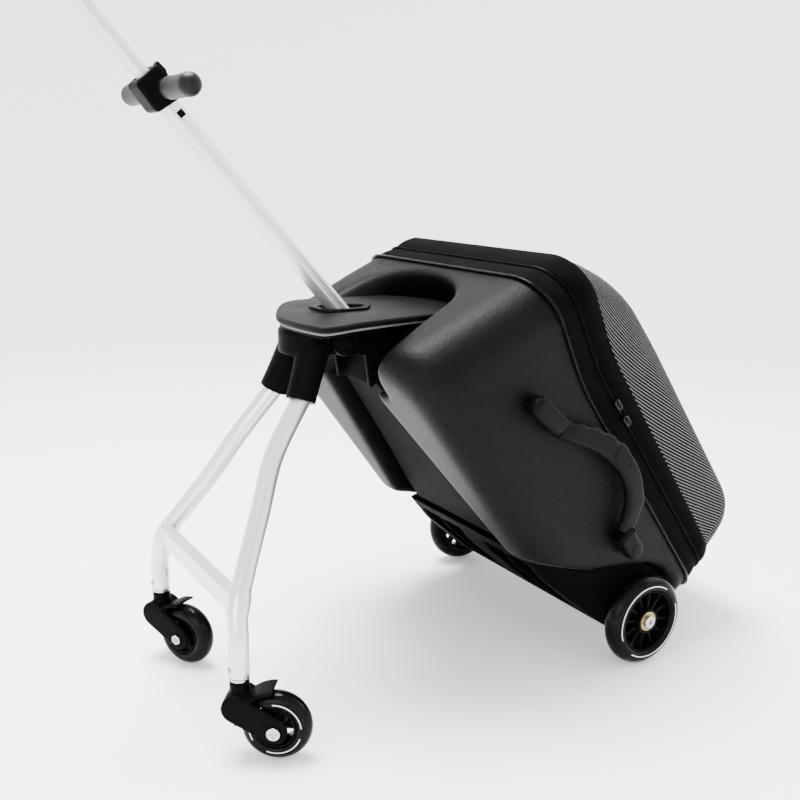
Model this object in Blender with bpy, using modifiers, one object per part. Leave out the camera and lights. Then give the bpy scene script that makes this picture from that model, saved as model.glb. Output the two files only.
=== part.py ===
"""Ride-on suitcase: a case on two rear wheels with a fold-out front leg frame,
a seat plate and a telescopic pole that carries a child's T-bar.

Metres, +Z up, floor at z = 0. The rider faces -Y, and +X is the rider's left,
the side of the carry handle. Two working frames are used: the case frame
(x across, u down the case, n from its back towards its lid) and the pole frame
(x across, v down the pole, m square to it)."""

import math

import bmesh
import bpy
from mathutils import Matrix, Vector

# Driving dimensions
AXLE_Y = 0.2489
REAR_RADIUS = 0.050
REAR_WIDTH = 0.024
REAR_TRACK = 0.342
FRONT_RADIUS = 0.033
FRONT_WIDTH = 0.022
FRONT_TRACK = 0.220
STEM_Y = AXLE_Y - 0.4426
TRAIL = 0.034
SWIVEL_LEFT = math.radians(37)
SWIVEL_RIGHT = math.radians(60)

CASE_TILT = math.radians(54)
HALF_WIDTH = 0.165
CASE_TOP = -0.412
CASE_BOTTOM = 0.052
CASE_BACK = -0.066
SEAM = 0.078
SEAM_RISE = 0.016
FLARE = 0.03
WALL = 0.004
GAP = 0.0004
ZIP_LOW = SEAM + 0.0230
ZIP_HIGH = ZIP_LOW + 0.0034
LID_BASE = ZIP_HIGH + GAP
LID_HINGE = (-HALF_WIDTH - 0.0055, -0.18, ZIP_HIGH + 0.0001)
LID_STEP = LID_BASE + 0.0195
LID_EDGE = 0.132
LID_CROWN = 0.194
TAPER_START = LID_STEP + 0.0038
TOP_TAPER = 0.90

POLE_TILT = math.radians(49)
POLE_FOOT = (0.0, AXLE_Y + 0.0035, 0.060)
OUTER_HALF = (0.0115, 0.0090)
INNER_HALF = (0.0092, 0.0067)
POLE_WALL = 0.0016
OUTER_TOP = -0.706
OUTER_BOTTOM = -0.262
INNER_TOP = -0.965
INNER_BOTTOM = -0.560

PIVOT = (AXLE_Y - 0.290, 0.360)
SEAT_TOP = 0.387
SEAT_THICK = 0.0060
UNDERLAYER_THICK = 0.0050
LEG_RADIUS = 0.0095
TUBE_END_Z = 0.0760

parts = bpy.data.collections.new("ride_on_suitcase")
cutters = bpy.data.collections.new("cutters")
materials = {}


def start_scene():
    for obj in list(bpy.data.objects):
        bpy.data.objects.remove(obj, do_unlink=True)
    bpy.context.scene.collection.children.link(parts)
    bpy.context.scene.collection.children.link(cutters)


def material(name, colour, roughness, metallic=0.0):
    if name not in materials:
        mat = bpy.data.materials.new(name)
        mat.use_nodes = True
        shader = mat.node_tree.nodes["Principled BSDF"]
        shader.inputs["Base Color"].default_value = (*colour, 1.0)
        shader.inputs["Roughness"].default_value = roughness
        shader.inputs["Metallic"].default_value = metallic
        materials[name] = mat
    return materials[name]


def shell_black():
    return material("shell_black", (0.020, 0.020, 0.021), 0.45)


def fabric_black():
    return material("fabric_black", (0.012, 0.012, 0.013), 0.85)


def mesh_grey():
    return material("mesh_grey", (0.060, 0.060, 0.062), 0.80)


def plastic_black():
    return material("plastic_black", (0.016, 0.016, 0.018), 0.40)


def rubber_black():
    return material("rubber_black", (0.010, 0.010, 0.010), 0.55)


def tyre_black():
    return material("tyre_black", (0.006, 0.006, 0.006), 0.12)


def silver():
    return material("silver", (0.80, 0.80, 0.80), 0.30, 1.0)


def leg_silver():
    return material("leg_silver", (0.82, 0.83, 0.82), 0.35, 0.6)


def steel():
    return material("steel", (0.70, 0.70, 0.70), 0.22, 1.0)


def brass():
    return material("brass", (0.75, 0.55, 0.25), 0.30, 1.0)


def layer_grey():
    return material("layer_grey", (0.35, 0.35, 0.35), 0.60)


# Frames

def case_frame():
    return Matrix.Translation((0, AXLE_Y, REAR_RADIUS)) @ Matrix.Rotation(-CASE_TILT, 4, "X")


def pole_frame():
    return Matrix.Translation(POLE_FOOT) @ Matrix.Rotation(-POLE_TILT, 4, "X")


def side_of(frame):
    """The frame whose XY plane is the side view of another one, its Z along X."""
    return frame @ Matrix(((0, 0, 1, 0), (1, 0, 0, 0), (0, 1, 0, 0), (0, 0, 0, 1)))


def along_pole():
    """XY is the pole's cross-section (x, m), and Z runs down the pole."""
    return pole_frame() @ Matrix(((1, 0, 0, 0), (0, 0, 1, 0), (0, -1, 0, 0), (0, 0, 0, 1)))


def world_side():
    """XY is the world's side view (y, z), and Z runs along X."""
    return Matrix(((0, 0, 1, 0), (1, 0, 0, 0), (0, 1, 0, 0), (0, 0, 0, 1)))


def castor_frame(side):
    angle = SWIVEL_LEFT if side > 0 else SWIVEL_RIGHT
    place = Matrix.Translation((side * FRONT_TRACK / 2, STEM_Y, 0))
    return place @ Matrix.Rotation(-angle, 4, "Z")


def wheel_axis(frame, centre):
    """Turns a turned shape's Z axis on to the X axis of a frame."""
    return frame @ Matrix.Translation(centre) @ Matrix.Rotation(math.pi / 2, 4, "Y")


# Building blocks

def place(obj, frame, mat=None, collection=parts):
    for old in list(obj.users_collection):
        old.objects.unlink(obj)
    collection.objects.link(obj)
    obj.matrix_world = frame
    if mat:
        obj.data.materials.clear()
        obj.data.materials.append(mat)
    return obj


def mesh_object(name, bm, frame, mat=None, collection=parts, smooth=True):
    bmesh.ops.recalc_face_normals(bm, faces=bm.faces)
    mesh = bpy.data.meshes.new(name)
    bm.to_mesh(mesh)
    bm.free()
    if smooth:
        mesh.shade_smooth()
        mesh.set_sharp_from_angle(angle=math.radians(35))
    return place(bpy.data.objects.new(name, mesh), frame, mat, collection)


def box(name, low, high, frame, mat=None, collection=parts, bevel=0.0):
    """A block between two opposite corners, given lowest first."""
    bm = bmesh.new()
    bmesh.ops.create_cube(bm, size=1.0)
    size = Vector(high) - Vector(low)
    bmesh.ops.scale(bm, vec=size, verts=bm.verts)
    bmesh.ops.translate(bm, vec=(Vector(high) + Vector(low)) / 2, verts=bm.verts)
    obj = mesh_object(name, bm, frame, mat, collection, smooth=False)
    if bevel:
        soften(obj, bevel, 2)
    return obj


def soften(obj, width, segments=2):
    mod = obj.modifiers.new("edges", "BEVEL")
    mod.width = width
    mod.segments = segments
    mod.limit_method = "ANGLE"
    mod.angle_limit = math.radians(40)
    return obj


def rod(name, radius, low, high, frame, mat=None, collection=parts, segments=24):
    bm = bmesh.new()
    bmesh.ops.create_cone(bm, cap_ends=True, segments=segments, radius1=radius, radius2=radius,
                          depth=high - low)
    bmesh.ops.translate(bm, vec=(0, 0, (high + low) / 2), verts=bm.verts)
    return mesh_object(name, bm, frame, mat, collection)


def turned(name, profile, frame, mat, steps=32):
    """A closed profile of (radius, height) points turned about Z."""
    area = sum(a[0] * b[1] - b[0] * a[1] for a, b in zip(profile, profile[1:] + profile[:1]))
    if area > 0:
        profile = list(reversed(profile))
    bm = bmesh.new()
    points = [bm.verts.new((radius, 0, height)) for radius, height in profile]
    for first, second in zip(points, points[1:] + points[:1]):
        bm.edges.new((first, second))
    mesh = bpy.data.meshes.new(name)
    bm.to_mesh(mesh)
    bm.free()
    obj = place(bpy.data.objects.new(name, mesh), frame, mat)
    mod = obj.modifiers.new("turn", "SCREW")
    mod.steps = steps
    mod.render_steps = steps
    mod.use_merge_vertices = True
    mod.merge_threshold = 0.00001
    return obj


def outline_curve(name, outlines, depth, frame, mat=None, collection=parts, bevel=0.0):
    """Flat closed outlines in XY, given a thickness along Z on both sides of it."""
    curve = bpy.data.curves.new(name, "CURVE")
    curve.dimensions = "2D"
    curve.fill_mode = "BOTH"
    curve.extrude = depth / 2 - bevel
    curve.bevel_depth = bevel
    curve.bevel_resolution = 1
    curve.offset = -bevel
    for points in outlines:
        spline = curve.splines.new("POLY")
        spline.points.add(len(points) - 1)
        for point, (a, b) in zip(spline.points, points):
            point.co = (a, b, 0, 1)
        spline.use_cyclic_u = True
    return place(bpy.data.objects.new(name, curve), frame, mat, collection)


def to_mesh(obj):
    """A curve object made a mesh, with its loose caps welded."""
    bpy.context.view_layer.update()
    depsgraph = bpy.context.evaluated_depsgraph_get()
    mesh = bpy.data.meshes.new_from_object(obj.evaluated_get(depsgraph))
    bm = bmesh.new()
    bm.from_mesh(mesh)
    bmesh.ops.remove_doubles(bm, verts=bm.verts, dist=0.000005)
    bmesh.ops.recalc_face_normals(bm, faces=bm.faces)
    bm.to_mesh(mesh)
    bm.free()
    name = obj.name
    frame = obj.matrix_world.copy()
    collection = obj.users_collection[0]
    bpy.data.objects.remove(obj, do_unlink=True)
    solid = bpy.data.objects.new(name, mesh)
    mesh.shade_smooth()
    mesh.set_sharp_from_angle(angle=math.radians(35))
    return place(solid, frame, None, collection)


def prism(name, outlines, low, high, frame, mat=None, collection=parts, bevel=0.0):
    """Outlines in XY extruded along Z from low to high, as a mesh."""
    middle = frame @ Matrix.Translation((0, 0, (low + high) / 2))
    curve = outline_curve(name, outlines, high - low, middle, mat, collection, bevel)
    return to_mesh(curve)


def tube(name, points, radius, frame, mat=None, collection=parts, resolution=4, cyclic=False):
    curve = bpy.data.curves.new(name, "CURVE")
    curve.dimensions = "3D"
    curve.bevel_depth = radius
    curve.bevel_resolution = resolution
    curve.use_fill_caps = True
    spline = curve.splines.new("POLY")
    spline.points.add(len(points) - 1)
    for point, place_at in zip(spline.points, points):
        point.co = (*place_at, 1)
    spline.use_cyclic_u = cyclic
    return to_mesh(place(bpy.data.objects.new(name, curve), frame, mat, collection))


def combine(obj, other, operation):
    """Cuts or joins an object with a helper, which is then only a guide."""
    mod = obj.modifiers.new(operation.lower(), "BOOLEAN")
    mod.operation = operation
    mod.object = other
    other.hide_render = True
    other.display_type = "WIRE"
    for old in list(other.users_collection):
        old.objects.unlink(other)
    cutters.objects.link(other)
    return obj


def cut(obj, *others):
    for other in others:
        combine(obj, other, "DIFFERENCE")
    return obj


def join(obj, *others):
    for other in others:
        combine(obj, other, "UNION")
    return obj


def loft(name, rings, frame, mat=None, collection=parts, closed=False):
    """Skins rings of equal point counts. An open run of rings gets end caps."""
    bm = bmesh.new()
    loops = [[bm.verts.new(point) for point in ring] for ring in rings]
    pairs = list(zip(loops, loops[1:]))
    if closed:
        pairs.append((loops[-1], loops[0]))
    for lower, upper in pairs:
        for i in range(len(lower)):
            j = (i + 1) % len(lower)
            bm.faces.new((lower[i], lower[j], upper[j], upper[i]))
    if not closed:
        bm.faces.new(loops[0])
        bm.faces.new(loops[-1])
    return mesh_object(name, bm, frame, mat, collection)


def arc(centre, radius, start, end, steps):
    """Points on an arc, in degrees, both ends included."""
    points = []
    for i in range(steps + 1):
        angle = math.radians(start + (end - start) * i / steps)
        points.append((centre[0] + radius * math.cos(angle), centre[1] + radius * math.sin(angle)))
    return points


def rounded_box(half_x, half_y, radius, steps=4):
    points = []
    for sx, sy, start in ((1, 1, 0), (-1, 1, 90), (-1, -1, 180), (1, -1, 270)):
        centre = (sx * (half_x - radius), sy * (half_y - radius))
        points += arc(centre, radius, start, start + 90, steps)
    return points


def stadium(first, second, radius_first, radius_second, steps=8):
    """A plate outline round two centres."""
    dx = second[0] - first[0]
    dy = second[1] - first[1]
    heading = math.degrees(math.atan2(dy, dx))
    tangent = math.degrees(math.acos((radius_first - radius_second) / math.hypot(dx, dy)))
    points = arc(first, radius_first, heading + tangent, heading + 360 - tangent, steps)
    points += arc(second, radius_second, heading - tangent, heading + tangent, steps)
    return points


# Outline of the case

def seam_rise(u):
    """The seam climbs towards the lid near the case's upper end."""
    t = min(max((-0.25 - u) / 0.14, 0.0), 1.0)
    return SEAM_RISE * t * t * (3 - 2 * t)


def flare(u, level):
    """The sides swell a little towards the upper corners, past the back."""
    t = min(max((-0.27 - u) / 0.11, 0.0), 1.0) * min(max((level + 0.02) / 0.08, 0.0), 1.0)
    return 1 + FLARE * t * t * (3 - 2 * t)


def belly(u, level):
    """The lid stands a little fuller below its upper end."""
    along = min(max((u + 0.36) / 0.15, 0.0), 1.0)
    up = min(max((level - 0.124) / 0.030, 0.0), 1.0) * min(max((0.196 - level) / 0.012, 0.0), 1.0)
    return 0.008 * up * along * along * (3 - 2 * along)


def case_ring(inset, level, top_radius=0.045, bottom_radius=0.050, steps=4, grow=0.0, rise=1.0):
    """A ring round the case at one depth, drawn in by an inset."""
    half = HALF_WIDTH - inset + grow
    top = CASE_TOP + 0.22 * level + inset - grow + TOP_TAPER * max(level - TAPER_START, 0.0)
    bottom = CASE_BOTTOM - inset + grow
    top_r = max(top_radius - 0.3 * inset, 0.012)
    bottom_r = max(bottom_radius - 0.3 * inset, 0.012)
    corners = ((half, bottom, bottom_r, 1, 1, 0), (-half, bottom, bottom_r, -1, 1, 90),
               (-half, top, top_r, -1, -1, 180), (half, top, top_r, 1, -1, 270))
    ring = []
    for x, u, radius, sx, su, start in corners:
        centre = (x - sx * radius, u - su * radius)
        ring += arc(centre, radius, start, start + 90, steps)
        if start == 90:
            ring += straight(ring[-1], (-half, top + top_r), 6)
        if start == 270:
            ring += straight(ring[-1], (half, bottom - bottom_r), 6)
        if start in (0, 180):
            end = (-half + bottom_r, bottom) if start == 0 else (half - top_r, top)
            ring += straight(ring[-1], end, 2)
    return [(x * flare(u, level), u, level + rise * (seam_rise(u) + belly(u, level))) for x, u in ring]


def straight(first, second, parts_between):
    """The points between two ends, both ends left out."""
    points = []
    for i in range(1, parts_between):
        t = i / parts_between
        points.append((first[0] + (second[0] - first[0]) * t, first[1] + (second[1] - first[1]) * t))
    return points


def shell_levels():
    """Depth and inset of the rings that round the case's back over."""
    radius = 0.034
    levels = []
    for i in range(6):
        angle = math.radians(90 * i / 5)
        levels.append((CASE_BACK + radius * (1 - math.sin(angle)), radius * (1 - math.cos(angle))))
    return list(reversed(levels))


def case_block(name, inset, top_level, collection):
    rings = []
    for level, back_inset in shell_levels():
        rings.append(case_ring(back_inset + inset, level + inset, rise=0.0))
    rings.append(case_ring(inset, 0.0, rise=0.2))
    rings.append(case_ring(inset, 0.04, rise=0.6))
    rings.append(case_ring(inset, top_level, rise=1.0))
    return loft(name, rings, case_frame(), None, collection)


def pole_level(u):
    """Depth of the pole's axis in the case frame."""
    return -0.0298 + (u + 0.4456) * math.tan(CASE_TILT - POLE_TILT)


def shelf_u(level, height):
    """Where a horizontal plane crosses a depth, in the case frame."""
    return (level * math.cos(CASE_TILT) - (height - REAR_RADIUS)) / math.sin(CASE_TILT)


POCKET_HALF = 0.080
POCKET_APEX = 0.0778
POCKET_FLARE = ((-0.60, 0.026), (-0.418, 0.026), (-0.4125, 0.0150), (-0.4060, 0.0085), (-0.3960, 0.0035),
                (-0.3800, 0.0), (-0.25, 0.0))
BAY_FLOOR = -0.366
SHELF_Z = SEAT_TOP - SEAT_THICK - UNDERLAYER_THICK - 0.0015


def pocket_cutter(grow):
    """The seat recess: a flared mouth, a level shelf and an open hinge bay."""
    rings = []
    for u, spread in POCKET_FLARE:
        half = POCKET_HALF + grow + spread
        apex = POCKET_APEX + grow + min(spread, 0.008)
        rounding = 0.052 + 0.5 * spread
        ring = [(half, u, -0.2)]
        for a in range(0, 181, 15):
            angle = math.radians(a)
            ring.append((half * math.cos(angle), u, apex - rounding + rounding * math.sin(angle)))
        ring.append((-half, u, -0.2))
        rings.append(ring)
    walls = loft("pocket_walls", rings, case_frame(), None, cutters)
    shelf_z = SHELF_Z - grow
    bay = BAY_FLOOR + grow
    bend = (bay * math.sin(CASE_TILT) + (shelf_z - REAR_RADIUS)) / math.cos(CASE_TILT)
    profile = [(-0.58, -0.15), (bay, -0.15), (bay, bend), (shelf_u(0.15, shelf_z), 0.15), (-0.58, 0.15)]
    height = prism("pocket_height", [profile], -0.19, 0.19, side_of(case_frame()), None, cutters)
    return combine(walls, height, "INTERSECT")


def channel_cutter(grow):
    """The channel down the back, which widens towards the wheels."""
    top = -0.40
    bottom = -0.06
    rings = []
    for u, half in ((top, 0.046), (-0.365, 0.049), (-0.165, 0.104), (bottom, 0.112)):
        floor = pole_level(u) + 0.019 + grow
        width = half + grow
        rings.append([(width + 0.004, u, -0.12), (width, u, floor - 0.006), (width - 0.006, u, floor),
                      (-width + 0.006, u, floor), (-width, u, floor - 0.006), (-width - 0.004, u, -0.12)])
    return loft("channel", rings, case_frame(), None, cutters)


def bottom_outline(grow):
    """The lower limit of the shell's side: a slant, then the wheel arch."""
    reach = REAR_RADIUS + 0.0085 + grow
    arch = arc((0, 0), reach, 142, 62, 8)
    start = (-0.160 - 0.7 * grow, -0.0720)
    slant = [start, (-0.134 - 0.6 * grow, -0.049 + 0.6 * grow), (-0.098 - 0.5 * grow, -0.021 + 0.8 * grow)]
    return slant + arch + [(0.12, arch[-1][1] + 0.004), (0.12, -0.2), (-0.13, -0.2)]


def bottom_cutter(grow):
    return prism("bottom", [bottom_outline(grow)], -0.3, 0.3, side_of(case_frame()), None, cutters)


def seam_cutter():
    """Everything past the seam, whose edge follows the seam's rise."""
    line = [(u / 100, SEAM + seam_rise(u / 100)) for u in range(-50, 13)]
    return prism("past_seam", [line + [(0.12, 0.3), (-0.5, 0.3)]], -0.3, 0.3,
                 side_of(case_frame()), None, cutters)


def rear_shell():
    shell = case_block("rear_shell", 0.0, SEAM + 0.03, parts)
    shell.data.materials.append(shell_black())
    cut(shell, pocket_cutter(0.0), channel_cutter(0.0), bottom_cutter(0.0))
    remesh = shell.modifiers.new("even", "REMESH")
    remesh.mode = "VOXEL"
    remesh.voxel_size = 0.006
    smooth = shell.modifiers.new("moulded", "SMOOTH")
    smooth.factor = 0.5
    smooth.iterations = 10
    thin = shell.modifiers.new("thin", "DECIMATE")
    thin.ratio = 0.06
    hollow = case_block("hollow", WALL, SEAM + 0.04, cutters)
    cut(hollow, pocket_cutter(WALL), channel_cutter(WALL), bottom_cutter(WALL))
    cut(shell, seam_cutter(), hollow)
    return shell


# Edge bands and lid

def band(name, mat, low, high, inset_low, inset_high, thickness, frame=None):
    """A ring round the case between two depths past the seam."""
    rings = [case_ring(inset_low, low), case_ring(inset_high, high),
             case_ring(inset_high + thickness, high), case_ring(inset_low + thickness, low)]
    return loft(name, rings, frame or case_frame(), mat, closed=True)


def edge_bands():
    piping = [Vector(point) for point in case_ring(-0.0024, SEAM - 0.0004)]
    tube("piping_bead", piping, 0.0018, case_frame(), None, parts, 1, True)
    bpy.data.objects["piping_bead"].data.materials.append(plastic_black())
    band("shell_gusset", fabric_black(), SEAM + GAP, ZIP_LOW - GAP, 0.0, 0.0005, 0.0035)
    band("zip_chain", plastic_black(), ZIP_LOW, ZIP_HIGH, 0.0006, 0.0006, 0.0030)
    band("lid_gusset", fabric_black(), LID_BASE, LID_STEP, 0.0, 0.0020, 0.0035)


def lid_panel():
    """The lid's second band and crowned face as one sheet with a thickness."""
    profile = [(0.0040, LID_STEP + 0.0008), (0.0040, TAPER_START), (0.0050, LID_EDGE),
               (0.0062, LID_EDGE + 0.012), (0.0100, LID_EDGE + 0.030), (0.0190, LID_EDGE + 0.045),
               (0.0360, LID_EDGE + 0.054), (0.0650, LID_EDGE + 0.059)]
    bm = bmesh.new()
    rings = [case_ring(inset, level) for inset, level in profile] + [case_ring(0.1050, LID_CROWN, rise=0.0)]
    loops = [[bm.verts.new(point) for point in ring] for ring in rings]
    for lower, upper in zip(loops, loops[1:]):
        for i in range(len(lower)):
            j = (i + 1) % len(lower)
            bm.faces.new((lower[i], lower[j], upper[j], upper[i]))
    bm.faces.new(loops[-1])
    panel = mesh_object("lid_panel", bm, case_frame(), mesh_grey())
    mod = panel.modifiers.new("thickness", "SOLIDIFY")
    mod.thickness = 0.003
    mod.offset = -1.0
    return panel


def lid_liner():
    """The flat lining that closes the lid's inside."""
    rings = [case_ring(0.0070, LID_STEP - 0.0017, rise=0.0), case_ring(0.0070, LID_STEP - 0.0002, rise=0.0)]
    return loft("lid_liner", rings, case_frame(), fabric_black())


def hinge_tape():
    """The fabric strip along the far side that the lid turns on."""
    x = -HALF_WIDTH - 0.0006
    return box("lid_hinge_tape", (x - 0.0012, -0.24, SEAM + 0.004), (x, 0.0, ZIP_LOW + 0.0010),
               case_frame(), fabric_black())


def zip_slider(number, u):
    """A slider on the zip chain, and its pull tab that hangs from it."""
    x = HALF_WIDTH
    n = (ZIP_LOW + ZIP_HIGH) / 2
    body = box(f"zip_slider_{number}", (x + 0.0006, u - 0.006, n - 0.0036), (x + 0.0034, u + 0.006, n + 0.0036),
               case_frame(), steel())
    bridge = box("slider_bridge", (x + 0.0030, u - 0.0045, n - 0.0012), (x + 0.0058, u + 0.0045, n + 0.0012),
                 case_frame(), None, cutters)
    hole = box("slider_hole", (x + 0.0034, u - 0.0030, n - 0.0030), (x + 0.0046, u + 0.0030, n + 0.0030),
               case_frame(), None, cutters)
    cut(bridge, hole)
    join(body, bridge)
    pull = box(f"zip_pull_{number}", (x + 0.0038, u - 0.0022, n - 0.0024), (x + 0.0044, u + 0.0024, n + 0.0024),
               case_frame(), steel())
    return body, pull


# Carry handle

HANDLE_AXIS = (HALF_WIDTH + 0.0095, 0.0295)
HANDLE_ENDS = (-0.2660, -0.1130)
GRIP_KNOTS = ((-0.2660, 0.0297), (-0.2480, 0.0410), (-0.2220, 0.0570), (-0.1900, 0.0680),
              (-0.1600, 0.0690), (-0.1360, 0.0600), (-0.1200, 0.0440), (-0.1130, 0.0315))


def carry_handle():
    frame = case_frame()
    x, n = HANDLE_AXIS
    for name, far, end, side in (("handle_cap_upper", (-0.3035, 0.0215), HANDLE_ENDS[0], -1),
                                 ("handle_cap_lower", (-0.0860, 0.0300), HANDLE_ENDS[1], 1)):
        outline = stadium(far, (end - side * 0.006, n), 0.0092, 0.0104)
        cap = prism(name, [outline], HALF_WIDTH + 0.0016, HALF_WIDTH + 0.0185, side_of(frame), None, parts, 0.003)
        cap.data.materials.append(rubber_black())
        past = end + side * GAP
        cut(cap, box("cap_end", (x - 0.03, min(past, past - side * 0.05), n - 0.03),
                     (x + 0.03, max(past, past - side * 0.05), n + 0.03), frame, None, cutters))
        stub = rod("cap_stub", 0.0024, -0.007, 0.004, frame @ Matrix.Translation((x, end, n))
                   @ Matrix.Rotation(-side * math.pi / 2, 4, "X"), None, cutters, 12)
        join(cap, stub)
    path = smooth_path([(0, u, level) for u, level in GRIP_KNOTS], 3)
    rings = []
    for i, point in enumerate(path):
        before = path[max(i - 1, 0)]
        after = path[min(i + 1, len(path) - 1)]
        heading = Vector((0, 1, 0)) if i in (0, len(path) - 1) else (after - before).normalized()
        across = heading.cross(Vector((1, 0, 0)))
        t = i / (len(path) - 1)
        bulge = math.sin(math.pi * t)
        section = rounded_box(0.0052 + 0.0008 * bulge, 0.0082 + 0.0022 * bulge, 0.0042, 2)
        centre = Vector((x + 0.0035 * bulge, point.y, point.z))
        rings.append([centre + Vector((a, 0, 0)) + across * b for a, b in section])
    grip = loft("carry_grip", rings, frame, rubber_black())
    for end, side in ((HANDLE_ENDS[0], -1), (HANDLE_ENDS[1], 1)):
        cut(grip, box("grip_end", (x - 0.03, min(end - side * GAP, end + side * 0.03), n - 0.03),
                      (x + 0.03, max(end - side * GAP, end + side * 0.03), n + 0.03), frame, None, cutters))
    for end, side in ((HANDLE_ENDS[0], -1), (HANDLE_ENDS[1], 1)):
        cut(grip, rod("grip_bore", 0.0028, -0.0076, 0.004, frame @ Matrix.Translation((x, end, n))
                      @ Matrix.Rotation(-side * math.pi / 2, 4, "X"), None, cutters, 12))
    return grip


# Spine and chassis

def spine():
    """The moulded spine in the channel, with the pole's bore down its middle."""
    rings = []
    for u, half, back in ((BAY_FLOOR + 0.002, 0.0455, -0.052), (-0.26, 0.073, -0.050), (-0.170, 0.099, -0.050),
                          (-0.1375, 0.1025, -0.050)):
        floor = pole_level(u) + 0.0185
        rings.append([(half, u, back + 0.012), (half - 0.003, u, floor - 0.008), (half - 0.010, u, floor - 0.001),
                      (-half + 0.010, u, floor - 0.001), (-half + 0.003, u, floor - 0.008), (-half, u, back + 0.012),
                      (-half + 0.010, u, back), (half - 0.010, u, back)])
    body = loft("spine", rings, case_frame(), plastic_black())
    cut(body, prism("spine_bore", [rounded_box(OUTER_HALF[0] + 0.0010, OUTER_HALF[1] + 0.0010, 0.006)],
                    -0.50, -0.10, along_pole_down(), None, cutters))
    return body


def along_pole_down():
    """XY is the pole's cross-section, and Z is v, down the pole."""
    return pole_frame() @ Matrix(((-1, 0, 0, 0), (0, 0, 1, 0), (0, 1, 0, 0), (0, 0, 0, 1)))


CHASSIS_HALF = 0.153


def chassis():
    """The axle housing under the case's lower end, with its sloping skirts."""
    lower = [(-0.1330, -0.0530), (-0.0880, -0.0500), (-0.0060, -0.0310), (0.0200, -0.0200), (0.0280, 0.0000)]
    upper = arc((0, 0), REAR_RADIUS + 0.0068, 60, 142, 6)
    outline = lower + [(upper[0][0] - 0.004, upper[0][1] - 0.012)] + upper[1:] + [(-0.0985, -0.0245)]
    side = side_of(case_frame())
    body = prism("chassis", [outline], -CHASSIS_HALF, CHASSIS_HALF, side, None, parts)
    body.data.materials.append(plastic_black())
    across = case_frame() @ Matrix(((1, 0, 0, 0), (0, 0, -1, 0), (0, 1, 0, 0), (0, 0, 0, 1)))
    for sign in (1, -1):
        skirt = [(sign * 0.158, -0.022), (sign * 0.158, -0.080), (sign * 0.104, -0.080), (sign * 0.110, -0.056)]
        cut(body, prism("skirt_slope", [skirt], -0.20, 0.20, across, None, cutters))
    pocket = [(-0.1180, -0.0700), (-0.1080, -0.0300), (-0.0350, 0.0120), (-0.0200, 0.0080), (-0.0140, -0.0600)]
    for low, high in ((0.024, 0.060), (0.066, 0.104), (-0.060, -0.024), (-0.104, -0.066)):
        cut(body, prism("chassis_pocket", [pocket], low, high, side, None, cutters))
    cut(body, rod("axle_bore", 0.0045, -0.2, 0.2, wheel_axis(case_frame(), (0, 0, 0)), None, cutters, 16),
        prism("foot_bore", [rounded_box(OUTER_HALF[0] + 0.0010, OUTER_HALF[1] + 0.0010, 0.006)],
              -0.30, -0.030, along_pole_down(), None, cutters))
    return body


# Wheels

def tyre_profile(radius, width, inner):
    """A round-shouldered tyre: (radius, height) points, outer side first."""
    half = width / 2
    crown = []
    for i in range(7):
        angle = math.radians(90 - 180 * i / 6)
        crown.append((radius - half * 0.92 + half * 0.92 * math.cos(angle), half * 0.96 * math.sin(angle)))
    return crown + [(inner + 0.003, -half * 0.96), (inner, -half * 0.80), (inner, half * 0.80),
                    (inner + 0.003, half * 0.96)]


def spoked_hub(name, rim, boss, bore, width, spokes, frame, mat, pocket=0.0):
    """A disc whose windows leave the spokes standing."""
    half = width / 2
    profile = [(bore, half), (boss, half), (boss + 0.001, half * 0.55), (rim - 0.0030, half * 0.55),
               (rim - 0.0022, half), (rim, half), (rim, -half), (rim - 0.0022, -half),
               (rim - 0.0030, -half * 0.55), (boss + 0.001, -half * 0.55), (boss, -half), (bore, -half)]
    if pocket:
        profile[0:1] = [(bore, half - 0.005), (pocket, half - 0.005), (pocket, half)]
    hub = turned(name, profile, frame, mat, 24)
    step = 360 / spokes
    outer = rim - 0.0040
    inner = boss + 0.0025
    for i in range(spokes):
        middle = step * (i + 0.5)
        spread_out = step / 2 - math.degrees(0.0014 / outer)
        spread_in = step / 2 - math.degrees(0.0014 / inner)
        outline = arc((0, 0), outer, middle - spread_out, middle + spread_out, 2)
        outline += arc((0, 0), inner, middle + spread_in, middle - spread_in, 1)
        window = prism(f"window_{i}", [outline], -width, width, frame, None, cutters)
        cut(hub, window)
    return hub


def rear_wheels():
    rod("rear_axle", 0.0040, -REAR_TRACK / 2 - 0.0085, REAR_TRACK / 2 + 0.0085,
        wheel_axis(case_frame(), (0, 0, 0)), steel(), parts, 16)
    for side, word in ((1, "left"), (-1, "right")):
        turn = case_frame() @ Matrix.Translation((side * REAR_TRACK / 2, 0, 0))
        frame = turn @ Matrix.Rotation(side * math.pi / 2, 4, "Y")
        turned(f"rear_tyre_{word}", tyre_profile(REAR_RADIUS, REAR_WIDTH, 0.0350), frame, tyre_black(), 28)
        spoked_hub(f"rear_hub_{word}", 0.0347, 0.0140, 0.0043, 0.0200, 12, frame, plastic_black(), 0.0112)
        turned(f"rear_bearing_{word}", [(0.0043, 0.0052), (0.0043, 0.0096), (0.0109, 0.0096), (0.0109, 0.0052)],
               frame, brass(), 24)
        bolt = rod(f"rear_bolt_{word}", 0.0068, 0.0100, 0.0130, frame, steel(), parts, 24)
        cut(bolt, rod("hex_socket", 0.0028, 0.0112, 0.0150, frame, None, cutters, 6))


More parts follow.
